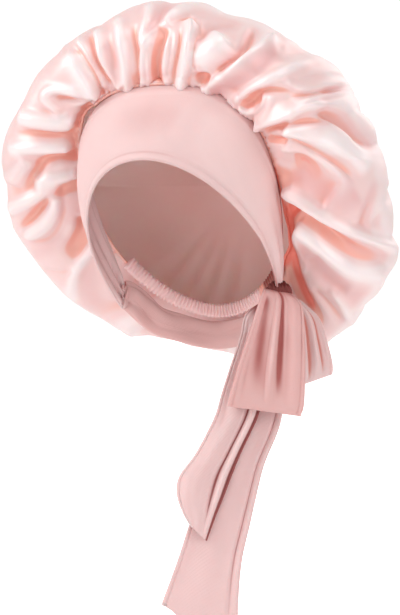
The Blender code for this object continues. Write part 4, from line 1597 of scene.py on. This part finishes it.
class Bow:
    """The bow's two loops and two tails.

    A row of a ribbon's edges has its left edge's way to the right and down, its right edge's way to the right and
    down, and how far the left and the right edge stand out. Each is a share of the ribbon's size.
    """

    UPPER_TAIL: Rows = (
        (-0.118, 0.010, 0.024, 0.015, 0.171, 0.229),
        (-0.318, 0.069, -0.071, 0.069, 0.200, 0.257),
        (-0.376, 0.163, -0.082, 0.163, 0.229, 0.286),
        (-0.482, 0.297, -0.129, 0.297, 0.286, 0.343),
        (-0.565, 0.406, -0.165, 0.406, 0.371, 0.429),
        (-0.635, 0.500, -0.212, 0.495, 0.457, 0.514),
        (-0.812, 0.644, -0.365, 0.629, 0.600, 0.657),
        (-0.976, 0.738, -0.459, 0.723, 0.714, 0.743),
        (-1.000, 0.812, -0.541, 0.812, 0.800, 0.829),
        (-0.941, 0.886, -0.635, 0.906, 0.886, 0.914),
        (-0.871, 0.936, -0.718, 1.000, 0.943, 1.000),
    )
    LOWER_TAIL: Rows = (
        (-0.062, 0.013, 0.072, 0.019, 0.000, 0.023),
        (-0.227, 0.105, 0.072, 0.105, 0.000, 0.023),
        (-0.309, 0.192, 0.062, 0.192, 0.045, 0.068),
        (-0.351, 0.262, 0.052, 0.262, 0.091, 0.136),
        (-0.412, 0.323, 0.021, 0.323, 0.159, 0.205),
        (-0.485, 0.367, -0.021, 0.367, 0.227, 0.273),
        (-0.598, 0.454, -0.134, 0.450, 0.341, 0.364),
        (-0.701, 0.550, -0.216, 0.550, 0.455, 0.477),
        (-0.773, 0.607, -0.258, 0.607, 0.523, 0.545),
        (-0.876, 0.703, -0.330, 0.706, 0.659, 0.659),
        (-1.000, 0.805, -0.361, 0.831, 0.795, 0.818),
        (-1.000, 0.808, -0.361, 1.000, 0.795, 1.000),
    )
    FRONT_LOOP: Rows = (
        (-0.186, 0.000, 0.186, 0.020, 0.156, 0.156),
        (-0.279, -0.071, 0.233, -0.031, 0.375, 0.375),
        (-0.326, -0.041, 0.419, 0.051, 0.656, 0.625),
        (-0.442, 0.102, 0.465, 0.163, 0.812, 0.750),
        (-0.628, 0.347, 0.488, 0.388, 0.875, 0.781),
        (-0.814, 0.592, 0.488, 0.633, 0.938, 0.844),
        (-0.953, 0.816, 0.465, 0.898, 1.000, 0.906),
        (-1.000, 0.898, 0.419, 0.980, 0.969, 0.875),
        (-1.000, 0.908, 0.419, 1.000, 0.844, 0.750),
        (-0.977, 0.878, 0.419, 0.969, 0.719, 0.625),
        (-0.884, 0.776, 0.442, 0.837, 0.656, 0.562),
        (-0.744, 0.571, 0.442, 0.612, 0.594, 0.500),
        (-0.581, 0.327, 0.395, 0.367, 0.500, 0.438),
        (-0.326, 0.143, 0.279, 0.153, 0.406, 0.375),
        (-0.140, 0.061, 0.186, 0.061, 0.312, 0.312),
    )
    REAR_LOOP: Rows = (
        (-0.085, 0.000, 0.213, 0.026, 0.125, 0.125),
        (0.043, -0.026, 0.340, 0.026, 0.375, 0.375),
        (0.128, 0.053, 0.511, 0.118, 0.625, 0.562),
        (0.170, 0.263, 0.723, 0.250, 0.812, 0.688),
        (0.170, 0.553, 0.851, 0.474, 0.938, 0.750),
        (0.149, 0.816, 0.957, 0.711, 1.000, 0.812),
        (0.128, 0.974, 1.000, 0.842, 0.875, 0.688),
        (0.128, 1.000, 1.000, 0.868, 0.625, 0.500),
        (0.128, 0.947, 0.979, 0.816, 0.375, 0.250),
        (0.170, 0.737, 0.894, 0.658, 0.250, 0.125),
        (0.191, 0.500, 0.766, 0.447, 0.125, 0.000),
        (0.191, 0.263, 0.553, 0.237, 0.062, -0.062),
        (0.085, 0.105, 0.298, 0.105, 0.000, 0.000),
    )

    UPPER_TAIL_FOLDS: Rows = (
        # first_across, last_across, half_width, depth_mm, start, end, right_lean
        (0.82, 0.86, 0.10, 3.5, 0.05, 1.15, 1.0),
        (0.72, 0.74, 0.10, -3.0, 0.05, 1.15, 1.0),
        (0.40, 0.46, 0.20, 2.5, 0.10, 1.10, 1.0),
        (0.20, 0.16, 0.14, -2.0, 0.10, 0.70, 1.0),
        (0.25, 0.22, 0.26, 4.0, 0.50, 0.95, 1.0),
    )
    LOWER_TAIL_FOLDS: Rows = (
        # first_across, last_across, half_width, depth_mm, start, end, right_lean
        (0.95, 0.95, 0.06, 2.2, 0.10, 1.15, 1.0),
        (0.88, 0.88, 0.06, -1.8, 0.10, 1.15, 1.0),
        (0.40, 0.50, 0.30, 2.0, 0.30, 1.05, 1.0),
        (0.20, 0.15, 0.20, -2.0, 0.05, 0.60, 1.0),
    )
    FRONT_LOOP_FOLDS: Rows = (
        # first_across, last_across, half_width, depth_mm, start, end, right_lean
        (0.46, 0.65, 0.062, -4.6, 0.05, 0.44, 1.6),
        (0.36, 0.54, 0.070, 3.0, 0.06, 0.48, 1.0),
        (0.76, 0.92, 0.180, 3.5, 0.05, 0.50, 1.0),
        (0.12, 0.36, 0.150, -2.6, 0.12, 0.44, 1.0),
        (0.03, 0.06, 0.100, 2.0, 0.10, 0.50, 1.0),
        (0.60, 0.60, 0.100, -5.0, 0.58, 0.96, 1.0),
        (0.30, 0.30, 0.100, -4.0, 0.60, 0.96, 1.0),
    )
    REAR_LOOP_FOLDS: Rows = (
        # first_across, last_across, half_width, depth_mm, start, end, right_lean
        (0.42, 0.40, 0.090, -5.0, 0.05, 0.56, 1.5),
        (0.60, 0.58, 0.090, 3.0, 0.05, 0.50, 1.0),
        (0.77, 0.75, 0.080, -4.5, 0.05, 0.54, 1.3),
        (0.93, 0.93, 0.080, 2.5, 0.08, 0.48, 1.0),
        (0.35, 0.35, 0.100, -4.0, 0.60, 0.96, 1.0),
        (0.70, 0.70, 0.100, -4.0, 0.60, 0.96, 1.0),
    )

    def build(self, groups: ShaderGroups) -> list[bpy.types.Object]:
        """Makes the bow.

        Args:
            groups: The shader groups.

        Returns:
            Its pieces.
        """
        # lit and shaded copies of the jersey: the loops' cloth darker as painted shade, the tails' near-black valleys a
        # painted shadow, the rear loop paler with lighter valleys as painted light
        loop_jersey = bow_finish().material(groups)
        tail_jersey = band_finish("rose_jersey_tail", (0.30, 0.03, 0.025)).material(groups)
        rear_jersey = band_finish("rose_jersey_rear", (0.62, 0.20, 0.15)).material(groups)
        upper_tail = Ribbon(
            "jersey_upper_tail",
            "upper_tail",
            edges=self.UPPER_TAIL,
            size=(85 * MM, 202 * MM, 35 * MM),
            folds=self.UPPER_TAIL_FOLDS,
            flat=(0.04, 0.21),
            held="hung",
            curl=(2 * MM, 4 * MM),
            # a painted shadow along its right edge, over the lower tail
            painted_edge_shadow=3.0,
        )
        lower_tail = Ribbon(
            "jersey_lower_tail",
            "lower_tail",
            edges=self.LOWER_TAIL,
            size=(97 * MM, 313 * MM, 44 * MM),
            folds=self.LOWER_TAIL_FOLDS,
            flat=(0.055, 0.30),
            held="hung",
            curl=(0.0, 1.5 * MM),
        )
        front_loop = Ribbon(
            "jersey_front_loop",
            "front_loop",
            edges=self.FRONT_LOOP,
            size=(43 * MM, 98 * MM, 32 * MM),
            folds=self.FRONT_LOOP_FOLDS,
            flat=(0.05, 0.22),
            held="folded",
            # painted shade over the whole loop
            shade=0.3,
        )
        rear_loop = Ribbon(
            "jersey_rear_loop",
            "rear_loop",
            edges=self.REAR_LOOP,
            size=(47 * MM, 76 * MM, 16 * MM),
            folds=self.REAR_LOOP_FOLDS,
            flat=(0.036, 0.18),
            held="folded",
            facing_deg=55,
        )
        return [
            upper_tail.build(tail_jersey),
            lower_tail.build(tail_jersey),
            front_loop.build(loop_jersey),
            rear_loop.build(rear_jersey),
        ]


@dataclass
class Studio:
    """The pale floor, soft lights and camera."""

    view: View = FRONT_VIEW
    floor_drop: float = 0.43

    def camera(self) -> None:
        """Places the camera at the front view's eye."""
        data = bpy.data.cameras.new("camera")
        data.sensor_width = 36
        data.lens = data.sensor_width * self.view.distance / (self.view.down * self.view.unit)
        camera = bpy.data.objects.new("camera", data)
        back = Vector(self.view.axes()[2])
        camera.location = Vector(self.view.aim()) + back * self.view.distance
        camera.rotation_euler = back.to_track_quat("Z", "Y").to_euler()
        bpy.context.scene.collection.objects.link(camera)
        bpy.context.scene.camera = camera

    def lamp(self, name: str, place: Sequence[float], size: float, power: float, tint: Sequence[float]) -> None:
        """Adds a soft area light that looks at the bonnet.

        Args:
            name: Its name.
            place: Where it stands.
            size: The side of its square.
            power: Its power in watts.
            tint: Its colour.
        """
        data = bpy.data.lights.new(name, "AREA")
        data.size = size
        data.energy = power
        data.color = tint
        lamp = bpy.data.objects.new(name, data)
        lamp.location = place
        lamp.rotation_euler = (Vector(place) - Vector((0, 0, -0.02))).to_track_quat("Z", "Y").to_euler()
        bpy.context.scene.collection.objects.link(lamp)

    def floor(self) -> None:
        """Lays the pale floor."""
        mesh = bpy.data.meshes.new("floor")
        far = 6.0
        corners = [(-far, -far, 0), (far, -far, 0), (far, far, 0), (-far, far, 0)]
        mesh.from_pydata(corners, [], [(0, 1, 2, 3)])
        floor = bpy.data.objects.new("floor", mesh)
        floor.location.z = -self.floor_drop
        bpy.context.scene.collection.objects.link(floor)
        material = bpy.data.materials.new("pale_floor")
        material.use_nodes = True
        shader = material.node_tree.nodes["Principled BSDF"]
        set_inputs(shader, {"Base Color": (0.95, 0.95, 0.95, 1), "Roughness": 0.9, "Emission Color": (1, 1, 1, 1)})
        seen = add_node(material.node_tree, "ShaderNodeLightPath").outputs["Is Camera Ray"]
        glow = add_range(material.node_tree, seen, (0.0, 1.0), (0.08, 0.85))
        material.node_tree.links.new(glow, shader.inputs["Emission Strength"])
        floor.data.materials.append(material)

    def world(self) -> None:
        """Sets a white surround that lights less than it shows."""
        world = bpy.data.worlds.new("surround")
        world.use_nodes = True
        bpy.context.scene.world = world
        tree = world.node_tree
        background = tree.nodes["Background"]
        seen = add_node(tree, "ShaderNodeLightPath").outputs["Is Camera Ray"]
        tint = add_node(tree, "ShaderNodeMix", data_type="RGBA")
        tint.inputs["A"].default_value = (1.0, 0.91, 0.905, 1)
        tint.inputs["B"].default_value = (1, 1, 1, 1)
        tree.links.new(seen, tint.inputs["Factor"])
        tree.links.new(tint.outputs["Result"], background.inputs["Color"])
        strength = add_range(tree, seen, (0.0, 1.0), (0.64, 1.05))
        tree.links.new(strength, background.inputs["Strength"])

    def build(self) -> None:
        """Sets up the whole studio."""
        self.camera()
        self.floor()
        self.world()
        self.lamp("key", (-1.5, -1.3, 1.1), 1.7, 28.5, (1.0, 0.985, 0.975))
        self.lamp("top", (0.5, -0.5, 1.9), 0.9, 7, (1.0, 0.99, 0.98))
        self.lamp("fill", (1.9, -1.0, 0.5), 1.2, 9, (1.0, 0.98, 0.98))
        self.lamp("back", (0.4, 1.8, 0.9), 1.2, 6, (1.0, 0.97, 0.95))
        bpy.context.scene.view_settings.view_transform = "Standard"


def main() -> None:
    """Builds the studio, then the bonnet's pieces, and logs how many points each piece has."""
    logging.basicConfig(level=logging.INFO, format="%(name)s: %(message)s")
    groups = ShaderGroups()
    Studio().build()
    trim = NapeTrim()
    pieces = [Crown().build(groups), Headband().build(groups), trim.casing(groups), trim.tie(groups)]
    pieces += [Knot().build(groups), *Bow().build(groups)]
    for piece in pieces:
        LOG.info("%s: %d points", piece.name, len(piece.data.vertices))


if __name__ == "__main__":
    main()
